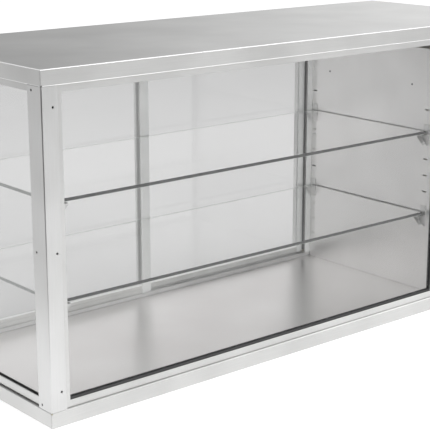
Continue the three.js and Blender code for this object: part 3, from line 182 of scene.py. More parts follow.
def brushed_steel(name, along, pale, dark):
    """Steel brushed along one axis: 0 is the length, 1 the depth and 2 the height of the case."""
    material, tree, where = new_finish(name)
    stretch = [1 / SCRATCH] * 3
    stretch[along] = ALONG_THE_BELT / SCRATCH
    lines = add(tree, "ShaderNodeMapping", {"Scale": stretch}, {"Vector": where})
    scratches = add(
        tree, "ShaderNodeTexNoise", {"Scale": 1, "Detail": 3, "Roughness": 0.6},
        {"Vector": lines.outputs[0]}).outputs[0]
    share = add(
        tree, "ShaderNodeMath", {1: SCRATCH_SHARE}, {0: scratches}, operation="MULTIPLY")
    mixed = add(
        tree, "ShaderNodeMath", {}, {0: share.outputs[0], 1: noise(tree, where, CLOUD, 2)},
        operation="ADD")
    sheen = add(
        tree, "ShaderNodeMapRange",
        {"To Min": BRUSHED - BRUSHED_SPREAD, "To Max": BRUSHED + BRUSHED_SPREAD},
        {"Value": scratches})
    relief = add(
        tree, "ShaderNodeBump", {"Strength": 0.25, "Distance": SCRATCH_DEPTH},
        {"Height": scratches})
    steel = add(
        tree, "ShaderNodeBsdfPrincipled", {"Metallic": 1},
        {"Base Color": two_tone(tree, mixed.outputs[0], dark, pale, DARKEST),
         "Roughness": sheen.outputs[0], "Normal": relief.outputs[0]})
    return surface(material, steel)


steel_length = brushed_steel("brushed_stainless_lengthwise", 0, "#dcdcdb", "#c9c9c8")
steel_depth = brushed_steel("brushed_stainless_crosswise", 1, "#dcdcdb", "#c9c9c8")
steel_height = brushed_steel("brushed_stainless_upright", 2, "#dedede", "#cdcdcc")
print("brushed steel along each axis:", steel_length.name, steel_depth.name, steel_height.name)

# %% [markdown]
# ** Satin stainless steel** is the mill finish on the pieces that nobody polishes: the partition, the
# uprights, the brackets, the floor tray, the ceiling liner and the fan deck. It has no belt lines,
# only a soft haze from the rolls and a fine even grain. The same function makes the near-white that is
# painted on the roof's outer folds as a highlight, and the other metals below. Its film is the share
# of a surface that is a milky coat and not bare metal.

# %% Satin stainless steel
GRAIN = 0.6 * MM
SATIN_SPREAD = 0.05
HAZE_LEVELS = (0.35, 0.65)


def satin_metal(name, pale, dark, roughness, clouding, film=0):
    """Metal with an even grain and a haze whose patches are as wide as the clouding."""
    material, tree, where = new_finish(name)
    haze = noise(tree, where, clouding, 3)
    sheen = add(
        tree, "ShaderNodeMapRange",
        {"To Min": roughness - SATIN_SPREAD, "To Max": roughness + SATIN_SPREAD},
        {"Value": noise(tree, where, GRAIN, 2)})
    metal = add(
        tree, "ShaderNodeBsdfPrincipled", {"Metallic": 1 - film},
        {"Base Color": two_tone(tree, haze, dark, pale, *HAZE_LEVELS),
         "Roughness": sheen.outputs[0]})
    return surface(material, metal)


satin_steel = satin_metal("satin_stainless", "#e6e5e4", "#dbdad9", 0.42, 120 * MM)
wall_steel = satin_metal("bright_annealed_wall", "#f1f0ef", "#e7e6e5", 0.3, 140 * MM)
floor_steel = satin_metal("satin_stainless_floor", "#efedec", "#e6e3e2", 0.3, 200 * MM)
bracket_steel = satin_metal("bright_pressed_stainless", "#e2e2e1", "#d6d6d5", 0.36, 20 * MM)
# A near-white, mostly matt finish that paints a highlight on the roof's outer folds.
painted_fold_highlight = satin_metal("white_fold_highlight_paint", "#ffffff", "#f6f6f6", 0.5, 40 * MM, 0.8)
print("plain steels:", satin_steel.name, wall_steel.name, floor_steel.name, bracket_steel.name)

# %% [markdown]
# **Anodised aluminium** is what door stiles, rails and tracks are extruded from. The anodic film is a
# thin layer of glassy oxide that is a little milky, so the metal under it looks even and soft. Metal
# that was etched before it was anodised looks milkier still.
# **Mill finish fin stock** is the thin bare aluminium of the coils, greyer and a little uneven.

# %% Aluminium, copper and zinc
anodised = satin_metal("anodised_aluminium", "#ececec", "#e2e2e2", 0.38, 60 * MM)
rail_grey = satin_metal("grey_anodised_rail", "#d8d7d6", "#cdcccb", 0.45, 60 * MM, 0.6)
etched = satin_metal("etched_anodised_aluminium", "#f0f0f0", "#e9e9e9", 0.5, 60 * MM, 0.7)
fin_stock = satin_metal("mill_finish_fin_stock", "#d2d3d3", "#bfc0c0", 0.33, 12 * MM)
copper = satin_metal("drawn_copper_tube", "#c98a63", "#a8643f", 0.28, 18 * MM)
zinc = satin_metal("zinc_plated_screw_steel", "#c4c6c8", "#a9acb0", 0.3, 4 * MM)
print("other metals:", anodised.name, fin_stock.name, copper.name, zinc.name)

# %% [markdown]
# **Float glass** is clear, with a very faint grey cast from the iron in it. Its large faces are
# flawless, and only a trace of dust varies how sharply they mirror. A lamp shines through a pane
# almost unhindered, and tracing that by refraction would take far more samples than a picture is
# worth, so rays to the lamps pass the pane as they pass a clear film.
# Seen on edge, a pane shows the light that has travelled inside it for a long way, so its ground edge
# is a darker grey. The edge gets its own finish, with the fine haze that grinding leaves.
# The shelves' edges have three more finishes, which paint light and shade: a dark one for shaded
# edges, a pale one for lit edges, and a white one that paints a highlight on the arrises as a thin
# line.

# %% Glass and its edges
GLASS_IOR = 1.46
DUST_PATCH = 40 * MM
DUST_HAZE = 0.012
GRINDING = 3 * MM


def float_glass(name, tint):
    material, tree, where = new_finish(name)
    haze = add(
        tree, "ShaderNodeMapRange",
        {"From Min": 0.4, "From Max": 0.8, "To Min": 0, "To Max": DUST_HAZE},
        {"Value": noise(tree, where, DUST_PATCH, 2)})
    glass = add(
        tree, "ShaderNodeBsdfPrincipled",
        {"Base Color": linear(tint), "IOR": GLASS_IOR, "Transmission Weight": 1},
        {"Roughness": haze.outputs[0]})
    clear = add(tree, "ShaderNodeBsdfTransparent", {"Color": linear("#fbfcfb")})
    ray = add(tree, "ShaderNodeLightPath")
    mixed = add(
        tree, "ShaderNodeMixShader", {},
        {0: ray.outputs["Is Shadow Ray"], 1: glass.outputs[0], 2: clear.outputs[0]})
    return surface(material, mixed)


def ground_edge(name, pale, dark, see_through):
    material, tree, where = new_finish(name)
    edge = add(
        tree, "ShaderNodeBsdfPrincipled",
        {"Roughness": 0.22, "IOR": GLASS_IOR, "Transmission Weight": see_through},
        {"Base Color": two_tone(tree, noise(tree, where, GRINDING, 3), dark, pale)})
    return surface(material, edge)


pane_glass = float_glass("clear_float_glass", "#f9f9f9")
door_glass = float_glass("door_float_glass", "#f9f9f9")
shelf_glass = float_glass("shelf_float_glass", "#fbfbfb")
pane_edge = ground_edge("ground_glass_edge", "#7c8784", "#66716e", 0.25)
# Painted light and shade on the shelves' edges: dark for shade, pale for lit faces, white for
# highlights.
shelf_edge_painted_shade = ground_edge("shelf_edge_with_painted_shade", "#404141", "#333434", 0)
shelf_edge_painted_light = ground_edge("shelf_end_with_painted_light", "#dfe3e1", "#d2d6d4", 0.3)
arris_painted_highlight = ground_edge("arris_with_painted_highlight", "#f4f6f5", "#e9ecea", 0.3)
print("glass:", pane_glass.name, "with edges in", pane_edge.name)

# %% [markdown]
# **EPDM rubber** seals the panes. It is extruded, matt and almost black, with a faint bloom.
# **Moulded ABS** makes the fans, the drip tray and the control housing. The mould was spark eroded,
# so its surface has a fine even pebble that breaks up a highlight.
# **Black enamel** covers the compressor: a thick coat that runs smooth, with a slight orange peel.
# **Polyurethane foam** fills the pans and lines the duct. Where it is cut it shows as a cream crumb.
# The vinyl beads, the blackened screws and the dial's pale print have a much shallower relief.

# %% Rubber, plastics, enamel and foam
BLOOM = 30 * MM


def moulded(name, pale, dark, roughness, pebble, relief, coat=0):
    """A pebbled skin with a faint bloom, and a clear coat where it is glossy."""
    material, tree, where = new_finish(name)
    pebbles = add(tree, "ShaderNodeTexVoronoi", {"Scale": 1 / pebble}, {"Vector": where})
    bump = add(
        tree, "ShaderNodeBump", {"Strength": 0.4, "Distance": relief},
        {"Height": pebbles.outputs["Distance"]})
    skin = add(
        tree, "ShaderNodeBsdfPrincipled", {"Roughness": roughness, "Coat Weight": coat},
        {"Base Color": two_tone(tree, noise(tree, where, BLOOM, 3), dark, pale),
         "Normal": bump.outputs[0]})
    return surface(material, skin)


rubber = moulded("epdm_rubber", "#3f3f40", "#2d2d2e", 0.62, 0.8 * MM, 0.05 * MM)
black_abs = moulded("moulded_black_abs", "#2e3032", "#212325", 0.5, 0.9 * MM, 0.06 * MM)
enamel = moulded("black_stove_enamel", "#1f2022", "#17181a", 0.3, 3 * MM, 0.05 * MM, 0.5)
foam = moulded("cut_polyurethane_foam", "#ece3c6", "#d8cda9", 0.9, 1.4 * MM, 0.5 * MM)
vinyl = moulded("pale_vinyl_bead", "#f4f4f4", "#ececec", 0.4, 1.5 * MM, 0.01 * MM)
blackened = moulded("blackened_steel", "#101112", "#0b0c0c", 0.6, 1.2 * MM, 0.01 * MM)
pale_print = moulded("pale_grey_print", "#d8d9da", "#cfd0d1", 0.55, 1.5 * MM, 0.01 * MM)
print("soft and moulded finishes:", rubber.name, black_abs.name, enamel.name, foam.name)

# %% [markdown]
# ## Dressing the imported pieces
# Six pieces are foam, fins or a flat liner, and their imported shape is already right, so they only
# need their real finish. Every other piece gets a finer shape below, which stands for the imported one.

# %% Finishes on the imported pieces
KEPT_AS_PACKED = {
    "ceiling_liner": satin_steel,
    "base_foam": foam,
    "roof_foam": foam,
    "duct_foam": foam,
    "evaporator_coil": fin_stock,
    "condenser_coil": fin_stock,
}
for node, material in KEPT_AS_PACKED.items():
    for slot in frame["nodes"][node].material_slots:
        slot.material = material
print(len(KEPT_AS_PACKED), "of", len(frame["nodes"]), "packed pieces keep their shape")

# %% [markdown]
# ## Sheet metal
# Folded sheet never has a sharp corner: the press leaves a radius of about the sheet's thickness
# inside each bend and twice that outside, and it is this radius that catches the light as a thin
# bright line. The cut edges are only deburred.
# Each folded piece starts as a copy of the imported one, merged into one skin and cleared of the flat
# triangles. Its bends are then picked by their place and bevelled wide, and all its other sharp edges
# get the small radius of a deburred cut. That keeps every fold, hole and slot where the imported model
# has it, and only the edges are new.

# %% Picking, copying and edging
BEND_RADIUS = 1.9 * MM
DEBURR = 0.22 * MM
SHARP = math.radians(30)
SMOOTH = math.radians(35)
SAME_PLACE = 0.002 * MM
SAME_FACE = math.radians(0.5)


def deselect():
    bpy.ops.object.select_all(action="DESELECT")


def activate(piece):
    deselect()
    piece.select_set(True)
    bpy.context.view_layer.objects.active = piece


def edit(piece, kind="EDGE"):
    """Edit mode on one piece with nothing selected."""
    activate(piece)
    bpy.ops.object.mode_set(mode="EDIT")
    bpy.ops.mesh.select_mode(type=kind)
    bpy.ops.mesh.select_all(action="DESELECT")


def leave_edit():
    bpy.ops.object.mode_set(mode="OBJECT")


def settle():
    """Writes the active piece's place, turn and size into its mesh."""
    bpy.ops.object.transform_apply(location=True, rotation=True, scale=True)


def block(name, size, middle):
    """A plain block, in metres."""
    deselect()
    bpy.ops.mesh.primitive_cube_add(size=1)
    piece = bpy.context.active_object
    piece.name = name
    piece.scale = size
    piece.location = middle
    settle()
    return piece


def pick_edges(piece, chosen):
    """Selects the edges whose two ends, in millimetres from the front left foot, are chosen."""
    leave_edit()
    ends = [(v.co - corner) / MM for v in piece.data.vertices]
    for edge in piece.data.edges:
        edge.select = chosen(*(ends[i] for i in edge.vertices))
    count = sum(edge.select for edge in piece.data.edges)
    bpy.ops.object.mode_set(mode="EDIT")
    return count


def packed_copy(node, name):
    """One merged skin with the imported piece's shape, on a mesh of its own."""
    activate(frame["nodes"][node])
    bpy.ops.object.duplicate()
    piece = bpy.context.active_object
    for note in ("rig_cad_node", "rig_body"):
        if note in piece:
            del piece[note]
    piece.parent = None
    piece.name = name
    piece.data.materials.clear()
    piece.modifiers.clear()
    bpy.ops.mesh.customdata_custom_splitnormals_clear()
    edit(piece)
    bpy.ops.mesh.select_all(action="SELECT")
    bpy.ops.mesh.remove_doubles(threshold=SAME_PLACE)
    bpy.ops.mesh.dissolve_limited(angle_limit=SAME_FACE)
    bpy.ops.mesh.select_all(action="DESELECT")
    leave_edit()
    return piece


def bend(piece, chosen, radius=BEND_RADIUS, segments=4):
    edit(piece)
    count = pick_edges(piece, chosen)
    bpy.ops.mesh.bevel(offset=radius, segments=segments, affect="EDGES", clamp_overlap=True)
    leave_edit()
    return count


def deburr(piece, width=DEBURR, segments=2):
    """Rounds every edge that is still sharp and shades the rest smooth across it."""
    activate(piece)
    edge = piece.modifiers.new("deburred", "BEVEL")
    edge.width = width
    edge.segments = segments
    edge.limit_method = "ANGLE"
    edge.angle_limit = SHARP
    edge.harden_normals = False
    edge.use_clamp_overlap = True
    bpy.ops.object.modifier_apply(modifier=edge.name)
    bpy.ops.object.shade_smooth_by_angle(angle=SMOOTH)
    flat = piece.modifiers.new("flat_faces_stay_flat", "WEIGHTED_NORMAL")
    flat.keep_sharp = True
    bpy.ops.object.modifier_apply(modifier=flat.name)


def belongs(piece, material, body, slot, *nodes):
    """The piece's finish, the body it rides on, a slot that is not used, and what it stands for."""
    piece.data.materials.clear()
    piece.data.materials.append(material)
    for node in nodes:
        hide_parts(node)
    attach(piece, body)
    return piece


print("bends are rounded to", BEND_RADIUS / MM, "mm and cuts to", DEBURR / MM, "mm")

# %% [markdown]
# ### Roof cover and base pan
# Both are pans folded from one sheet, with four walls that meet in an open seam at the corners. The
# bends run round the top of the roof and the foot of the base, and again where each wall turns in
# to its flange. The seams stay crisp, because they are cut edges. The roof's long outer bends carry a
# painted highlight, a near-white finish that shows as bright lines.

# %% Roof cover and base pan
case_wide, case_deep, case_high = (far_corner - corner) / MM
NEAR = 0.05
WALL = 1.2
SEAM_END = 1.6
SEAM_REACH = 3
LONG_EDGE = 40
LEAST_TILT = 0.1
MOST_TILT = 0.99


def close(a, b):
    return abs(a - b) < NEAR


def level_edge(a, b, height):
    """A long level edge at this height."""
    return close(a.z, height) and close(b.z, height) and (a - b).length > LONG_EDGE


def outermost(p):
    """On one of the four outer walls of the case."""
    return close(p.x, 0) or close(p.x, case_wide) or close(p.y, 0) or close(p.y, case_deep)


def along_a_wall(a, b):
    return outermost(a) and outermost(b) and (close(a.x, b.x) or close(a.y, b.y))


def shorten_seams(piece, low, high):
    """Ends each corner seam short of the bend, as a press does, so that the bend has room."""
    seam = SEAM_END if low.z > case_high / 2 else -SEAM_END
    inner = high.z - WALL if seam > 0 else low.z + WALL
    edit(piece, "VERT")
    leave_edit()
    for v in piece.data.vertices:
        p = (v.co - corner) / MM
        from_end = min(p.y, case_deep - p.y)
        at_an_end = close(p.x, 0) or close(p.x, case_wide)
        v.select = at_an_end and close(p.z, inner) and from_end < SEAM_REACH
    bpy.ops.object.mode_set(mode="EDIT")
    bpy.ops.transform.translate(value=(0, 0, -seam * MM))
    leave_edit()


def paint_fold_highlights(piece, low, high):
    """Paints a highlight on the outer bends: a near-white finish that shows as bright lines."""
    piece.data.materials.append(painted_fold_highlight)
    reach = BEND_RADIUS / MM
    for face in piece.data.polygons:
        p = (face.center - corner) / MM
        near_wall = min(p.x, case_wide - p.x, p.y, case_deep - p.y) < reach
        near_fold = min(p.z - low.z, high.z - p.z) < reach
        tilted = LEAST_TILT < abs(face.normal.z) < MOST_TILT
        face.material_index = int(near_wall and near_fold and tilted)


def pan_piece(node, name):
    piece = packed_copy(node, name)
    low, high = rule(node)
    shorten_seams(piece, low, high)
    folds = bend(
        piece, lambda a, b: any(level_edge(a, b, z) for z in (low.z, high.z)) and along_a_wall(a, b))
    deburr(piece)
    print(name, "has", folds, "edges rounded to a bend")
    return belongs(piece, steel_length, "cabinet", "steel", node)


roof = pan_piece("roof_cover", "folded_roof_cover")
# The roof's outer folds get a painted highlight.
paint_fold_highlights(roof, *rule("roof_cover"))
pan_piece("base_pan", "folded_base_pan")

# %% [markdown]
# ### Corner posts
# A post is an L of sheet whose two faces each end in a lip that is turned in to the frame. It has
# three bends that run its whole height.

# %% Corner posts
TALL_EDGE = 300


def upright_edge(a, b):
    return close(a.x, b.x) and close(a.y, b.y) and abs(a.z - b.z) > TALL_EDGE


def post_piece(node):
    piece = packed_copy(node, "folded_" + node)
    low, high = rule(node)
    left, front = low.x < case_wide / 2, low.y < case_deep / 2
    outer_x = low.x if left else high.x
    inner_x = high.x if left else low.x
    outer_y = low.y if front else high.y
    inner_y = high.y if front else low.y
    bends = [(outer_x, outer_y), (inner_x, outer_y), (outer_x, inner_y)]
    folds = bend(piece, lambda a, b: upright_edge(a, b) and any(
        close(a.x, x) and close(a.y, y) for x, y in bends))
    deburr(piece)
    print(piece.name, "has", folds, "bends")
    return belongs(piece, steel_height, "cabinet", "steel", node)


for node in ("front_left_post", "front_right_post", "rear_left_post", "rear_right_post"):
    post_piece(node)

# %% [markdown]
# ## Glass
# A pane starts as a block at its size. Its twelve edges are ground to a narrow arris, which is what
# sparkles, and its four edge faces get the ground finish while the two large faces stay clear.
# The shelves' front edges and right ends are painted dark, as the shade seen where the eye looks
# into the whole depth of the glass. Their rear edges and left ends face the light, so they are painted
# pale. Their arrises get a painted white highlight, except the front upper one, which is painted dark.

# %% Panes
ARRIS = 0.45 * MM
SQUARE_ON = 0.9


def pane(node, name, thin_axis, glass, edge, body, slot="glass"):
    """A pane that is thinnest along thin_axis, with an arris round all its edges."""
    low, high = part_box(node)
    piece = block(name, high - low, (low + high) / 2)
    edit(piece)
    bpy.ops.mesh.select_all(action="SELECT")
    bpy.ops.mesh.bevel(offset=ARRIS, segments=1, affect="EDGES")
    leave_edit()
    belongs(piece, glass, body, slot, node)
    piece.data.materials.append(edge)
    for face in piece.data.polygons:
        face.material_index = 0 if abs(face.normal[thin_axis]) > SQUARE_ON else 1
    print(name, "is", round((high - low)[thin_axis] / MM, 1), "mm thick")
    return piece


pane("front_glass", "front_pane", 1, pane_glass, pane_edge, "cabinet")
pane("left_glass", "left_pane", 0, pane_glass, pane_edge, "cabinet")
pane("left_door_glass", "left_door_pane", 1, door_glass, pane_edge, "left_door")
pane("right_door_glass", "right_door_pane", 1, door_glass, pane_edge, "right_door")

# %% Shelves
PAINTED_LIGHT = 2
PAINTED_HIGHLIGHT = 3
SLANTED = 0.1

for level in ("upper", "lower"):
    shelf = pane(
        f"{level}_shelf", f"{level}_shelf_pane", 2, shelf_glass, shelf_edge_painted_shade, f"{level}_shelf_pane")
    shelf.data.materials.append(shelf_edge_painted_light)
    shelf.data.materials.append(arris_painted_highlight)
    # Each edge face is painted dark, pale or with a white highlight, by the way it faces.
    for face in shelf.data.polygons:
        x, y, z = face.normal
        front_upper = z >= SLANTED and y <= -SLANTED
        if x < -SQUARE_ON or y > SQUARE_ON:
            face.material_index = PAINTED_LIGHT
        elif max(x, abs(y), abs(z)) < SQUARE_ON and not front_upper:
            face.material_index = PAINTED_HIGHLIGHT

# %% [markdown]
# ### Frames round the panes
# The front and left frames are flat sheets with a window cut in them. The window's edges are hemmed,
# which gives them a small even round. Their ledges, which carry the panes, lie out of sight.

# %% Front and left frames
HEM_RADIUS = 0.8 * MM
INSIDE = 1


def window_edge(low, high, axis):
    """Picks the edges of the window, on the face that looks out along the axis."""
    across = 1 - axis

    def in_the_window(p):
        return (
            close(p[axis], low[axis])
            and low[across] + INSIDE < p[across] < high[across] - INSIDE
            and low.z + INSIDE < p.z < high.z - INSIDE)

    return lambda a, b: in_the_window(a) and in_the_window(b)


def frame_piece(node, name, axis, material):
    piece = packed_copy(node, name)
    low, high = rule(node)
    folds = bend(piece, window_edge(low, high, axis), HEM_RADIUS, 3)
    deburr(piece)
    print(name, "has", folds, "hemmed edges")
    return belongs(piece, material, "cabinet", "steel", node)


frame_piece("front_frame", "hemmed_front_frame", 1, steel_length)
frame_piece("left_frame", "hemmed_left_frame", 0, steel_depth)

# %% [markdown]
# ### Seals
# The rubber channels are pressed out of a die, so their lips are round. The lip stands a little proud
# of the pane and leaves the thin black line that frames the glass.

# %% Seals
LIP_ROUND = 0.8 * MM


def soft_piece(node, name, material, width, body="cabinet", slot="rubber"):
    piece = packed_copy(node, name)
    deburr(piece, width, 3)
    return belongs(piece, material, body, slot, node)


soft_piece("front_glass_seal", "front_rubber_channel", rubber, LIP_ROUND)
soft_piece("left_glass_seal", "left_rubber_channel", rubber, LIP_ROUND)
print("the seals' lips are rounded to", LIP_ROUND / MM, "mm")

# %% [markdown]
# ### Floor tray
# The tray is a shallow pan turned upside down. Its bends run round its top, and its cut edges stand on
# the base.

# %% Floor tray
tray = packed_copy("floor_tray", "folded_floor_tray")
tray_low, tray_high = rule("floor_tray")


def round_the_top(a, b):
    return all(close(p.z, tray_high.z) for p in (a, b)) and (
        close(a.x, b.x) and (close(a.x, tray_low.x) or close(a.x, tray_high.x))
        or close(a.y, b.y) and (close(a.y, tray_low.y) or close(a.y, tray_high.y)))


print("the floor tray has", bend(tray, round_the_top), "bends")
deburr(tray)
belongs(tray, floor_steel, "cabinet", "steel", "floor_tray")

# %% [markdown]
# ### Uprights and partition
# The left uprights are drawn tubes with round corners. The partition is one sheet that is folded at
# its front and rear. In all three, a press cuts the slots, so their edges are crisp.

# %% Uprights and partition
TUBE_ROUND = 2.2 * MM

for node in ("front_left_upright", "rear_left_upright"):
    tube = packed_copy(node, "slotted_" + node)
    corners = bend(tube, upright_edge, TUBE_ROUND)
    deburr(tube)
    belongs(tube, satin_steel, "cabinet", "steel", node)
    print(tube.name, "has", corners, "rounded corners")

wall = packed_copy("partition", "folded_partition")
wall_low, wall_high = rule("partition")
wall_bends = bend(wall, lambda a, b: upright_edge(a, b) and close(a.x, wall_low.x))
deburr(wall)
belongs(wall, wall_steel, "cabinet", "steel", "partition")
print("the partition has", wall_bends, "bends")

# %% [markdown]
# ### Shelf brackets
# A bracket is folded from one small blank. The arm and its two cheeks share two bends that run along
# the arm, just under the glass, and the cut edges of the cheeks and hooks are tumbled smooth.

# %% Shelf brackets
ARM_BEND = 1.1 * MM
TUMBLED = 0.3 * MM
UNDER_THE_GLASS = 0.3
ARM_EDGE = 10


def bracket_piece(level, side, end):
    node = f"{level}_bracket_{side}_{end}"
    seat = rule(f"{level}_shelf")[0].z - UNDER_THE_GLASS

    def along_the_arm(a, b):
        at_the_seat = close(a.z, seat) and close(b.z, seat)
        return at_the_seat and close(a.y, b.y) and abs(a.x - b.x) > ARM_EDGE

    piece = packed_copy(node, "folded_" + node)
    bend(piece, along_the_arm, ARM_BEND, 3)
    deburr(piece, TUMBLED)
    belongs(piece, bracket_steel, "cabinet", "bracket_steel", node)


for level in ("upper", "lower"):
    for side in ("left", "right"):
        for end in ("front", "rear"):
            bracket_piece(level, side, end)
print("each shelf lies on four folded brackets")

# %% [markdown]
# ### Tracks, jambs and doors
# Tracks, stiles and rails are aluminium extrusions. A die gives every edge a very small radius, so
# they look sharper than the folded steel. Each jamb carries a strip of black pile that faces the
# end of its door. The pile is a draught seal, and its black also stands in for the shade in the gap
# between jamb and door.

# %% Tracks and jambs
DIE_RADIUS = 0.35 * MM


def extruded_piece(node, name, body="cabinet", material=anodised):
    piece = packed_copy(node, name)
    deburr(piece, DIE_RADIUS)
    return belongs(piece, material, body, "aluminium", node)


for track in ("bottom_track", "top_track"):
    extruded_piece(track, "extruded_" + track)
for side in ("left", "right"):
    extruded_piece(f"rear_{side}_jamb", f"folded_rear_{side}_jamb", "cabinet", etched)

# %% Stiles and rails
for side in ("left", "right"):
    for part in ("end_stile", "meeting_stile", "bottom_rail"):
        extruded_piece(
            f"{side}_door_{part}", f"extruded_{side}_{part}", f"{side}_door",
            rail_grey if part == "bottom_rail" else etched)
print("the doors are framed by six extrusions")

# %% [markdown]
# Three kinds of strip finish the doors and their jambs. A pale vinyl glazing bead is pressed in
# between the pane and its frame, and shows as a thin line. A low aluminium capping lies between the
# rail and its bead. The pile is a black brush on the jamb, and its black also stands in for the
# shade in the gap at the door's end. Each strip is one block that is rounded along its edges.

# %% Beads and pile
BEAD_SHOWN = 0.8
BEAD_PROUD = 0.6
BEAD_ROUND = 0.3
CLEAR_OF_GLASS = 0.05
CAPPING = {"left": 6.5, "right": 1.5}
CAPPING_ROUND = 0.2
LOWER_BEAD = {"left": 3.2, "right": 4.5}
JAMB_SHEET = 1.25
PILE_LENGTH = 3.6
PILE_WIDTH = 5
PILE_ROUND = 0.35


def strip(name, low, high, material, body, rounding):
    """A rounded strip between two corners in millimetres from the front left foot."""
    middle = place(*((a + b) / 2 for a, b in zip(low, high)))
    piece = block(name, (Vector(high) - Vector(low)) * MM, middle)
    deburr(piece, rounding * MM, 3)
    return belongs(piece, material, body, "rubber")


def glazing_beads(side):
    """The beads and cappings on the front and the rear of one door."""
    glass_low, glass_high = rule(f"{side}_door_glass")
    stiles = [rule(f"{side}_door_{kind}_stile") for kind in ("end", "meeting")]
    stiles.sort(key=lambda box: box[0].x)
    left, right = stiles[0][1].x, stiles[1][0].x
    inner_left, inner_right = left + BEAD_SHOWN, right - BEAD_SHOWN
    rail_top = rule(f"{side}_door_bottom_rail")[1].z
    bead_foot = rail_top + CAPPING[side]
    bead_top = bead_foot + LOWER_BEAD[side]
    for face, toward in (("front", -1), ("rear", 1)):
        y = glass_low.y if toward < 0 else glass_high.y
        near, far = sorted((y + toward * CLEAR_OF_GLASS, y + toward * BEAD_PROUD))
        strips = [
            ("left_bead", left, inner_left, rail_top, glass_high.z, vinyl, BEAD_ROUND),
            ("right_bead", inner_right, right, rail_top, glass_high.z, vinyl, BEAD_ROUND),
            ("capping", inner_left, inner_right, rail_top, bead_foot, rail_grey, CAPPING_ROUND),
            ("lower_bead", inner_left, inner_right, bead_foot, bead_top, vinyl, BEAD_ROUND)]
        for kind, x_low, x_high, z_low, z_high, material, rounding in strips:
            strip(
                f"{side}_door_{face}_{kind}", (x_low, near, z_low), (x_high, far, z_high),
                material, f"{side}_door", rounding)


for side in ("left", "right"):
    glazing_beads(side)
    web_low, web_high = rule(f"rear_{side}_jamb")
    door_low, door_high = rule(f"{side}_door_end_stile")
    glass_low, glass_high = rule(f"{side}_door_glass")
    middle = (glass_low.y + glass_high.y) / 2
    if side == "left":
        x = web_low.x + JAMB_SHEET
        gap = door_low.x - x - PILE_LENGTH
    else:
        x = web_high.x - JAMB_SHEET - PILE_LENGTH
        gap = x - door_high.x
    # The black pile is a draught seal whose black also stands in for painted shade in the gap by the
    # door.
    strip(
        f"{side}_jamb_pile_and_gap_shade", (x, middle - PILE_WIDTH / 2, web_low.z),
        (x + PILE_LENGTH, middle + PILE_WIDTH / 2, web_high.z), rubber, "cabinet", PILE_ROUND)
    print("the", side, "pile stands", round(gap, 1), "mm off its door")

# %% [markdown]
# ### Panels and screws
# The front and rear service panels are folded at their upright sides, and the louvres are pressed out
# of the sheet. The panels are held by pan head screws: a low dome with a cross recess. The rear ones
# are pressed into the sheet, so that nothing stands out behind the case. The posts and the partition
# are held by blackened screws with a hexagon recess, which sit deep in their holes in the posts.

# %% Service panels
LOUVRE_ROUND = 0.5 * MM

for node in ("front_service_panel", "rear_service_panel", "right_side_panel"):
    panel = packed_copy(node, "folded_" + node)
    low, high = rule(node)
    material = steel_depth
    if node != "right_side_panel":
        material = steel_length
        outer_y = low.y if node == "front_service_panel" else high.y
        bend(panel, lambda a, b: upright_edge(a, b) and close(a.y, outer_y)
             and (close(a.x, low.x) or close(a.x, high.x)))
    deburr(panel, LOUVRE_ROUND)
    belongs(panel, material, "cabinet", "steel", node)

# %% One screw of each kind
ROUND_STEPS = 32
HEAD = 3.6
DOME = 1.9
DOME_ROUND = 1.3
RECESS = 0.9
RECESS_SPAN = HEAD * 1.1
SOCKET = 2
SOCKET_HEIGHT = 1
SOCKET_ROUND = 0.2
HEXAGON = 1.1


def turned_blank(name, radius, height, rounding, segments):
    """A short round bar along Z whose upper rim is rounded."""
    deselect()
    bpy.ops.mesh.primitive_cylinder_add(
        vertices=ROUND_STEPS, radius=radius * MM, depth=height * MM)
    blank = bpy.context.active_object
    blank.name = name
    edit(blank)
    leave_edit()
    for e in blank.data.edges:
        e.select = all(blank.data.vertices[i].co.z > 0 for i in e.vertices)
    bpy.ops.object.mode_set(mode="EDIT")
    bpy.ops.mesh.bevel(offset=rounding * MM, segments=segments, affect="EDGES")
    leave_edit()
    return blank


def cut_with(piece, cutter):
    """Cuts one piece out of another and clears it away."""
    activate(piece)
    cut = piece.modifiers.new("recess", "BOOLEAN")
    cut.object = cutter
    cut.operation = "DIFFERENCE"
    bpy.ops.object.modifier_apply(modifier=cut.name)
    bpy.data.objects.remove(cutter)
    bpy.ops.object.shade_smooth_by_angle(angle=SMOOTH)


def cross_cutter():
    """Two bars that cross, joined to one, which stand on the level of the origin."""
    bar = block("recess", Vector((RECESS_SPAN, RECESS, DOME)) * MM, (0, 0, DOME / 2 * MM))
    bpy.ops.object.duplicate()
    bpy.ops.transform.rotate(value=math.pi / 2, orient_axis="Z", center_override=(0, 0, 0))
    settle()
    bar.select_set(True)
    bpy.context.view_layer.objects.active = bar
    bpy.ops.object.join()
    edit(bar)
    bpy.ops.mesh.select_all(action="SELECT")
    bpy.ops.mesh.intersect_boolean(operation="UNION", use_self=True)
    leave_edit()
    return bar


pan_head = turned_blank("pan_head_pattern", HEAD, DOME, DOME_ROUND, 6)
cut_with(pan_head, cross_cutter())

socket = turned_blank("socket_pattern", SOCKET, SOCKET_HEIGHT, SOCKET_ROUND, 2)
deselect()
bpy.ops.mesh.primitive_cylinder_add(
    vertices=6, radius=HEXAGON * MM, depth=SOCKET_HEIGHT * MM,
    location=(0, 0, SOCKET_HEIGHT / 2 * MM))
cut_with(socket, bpy.context.active_object)
print("a pan head screw has", len(pan_head.data.polygons), "faces")

# %% [markdown]
# Each screw is turned to stand out of its sheet and moved to its hole. The holes are in the packed
# model, and their rows follow from the posts and panels that they hold.

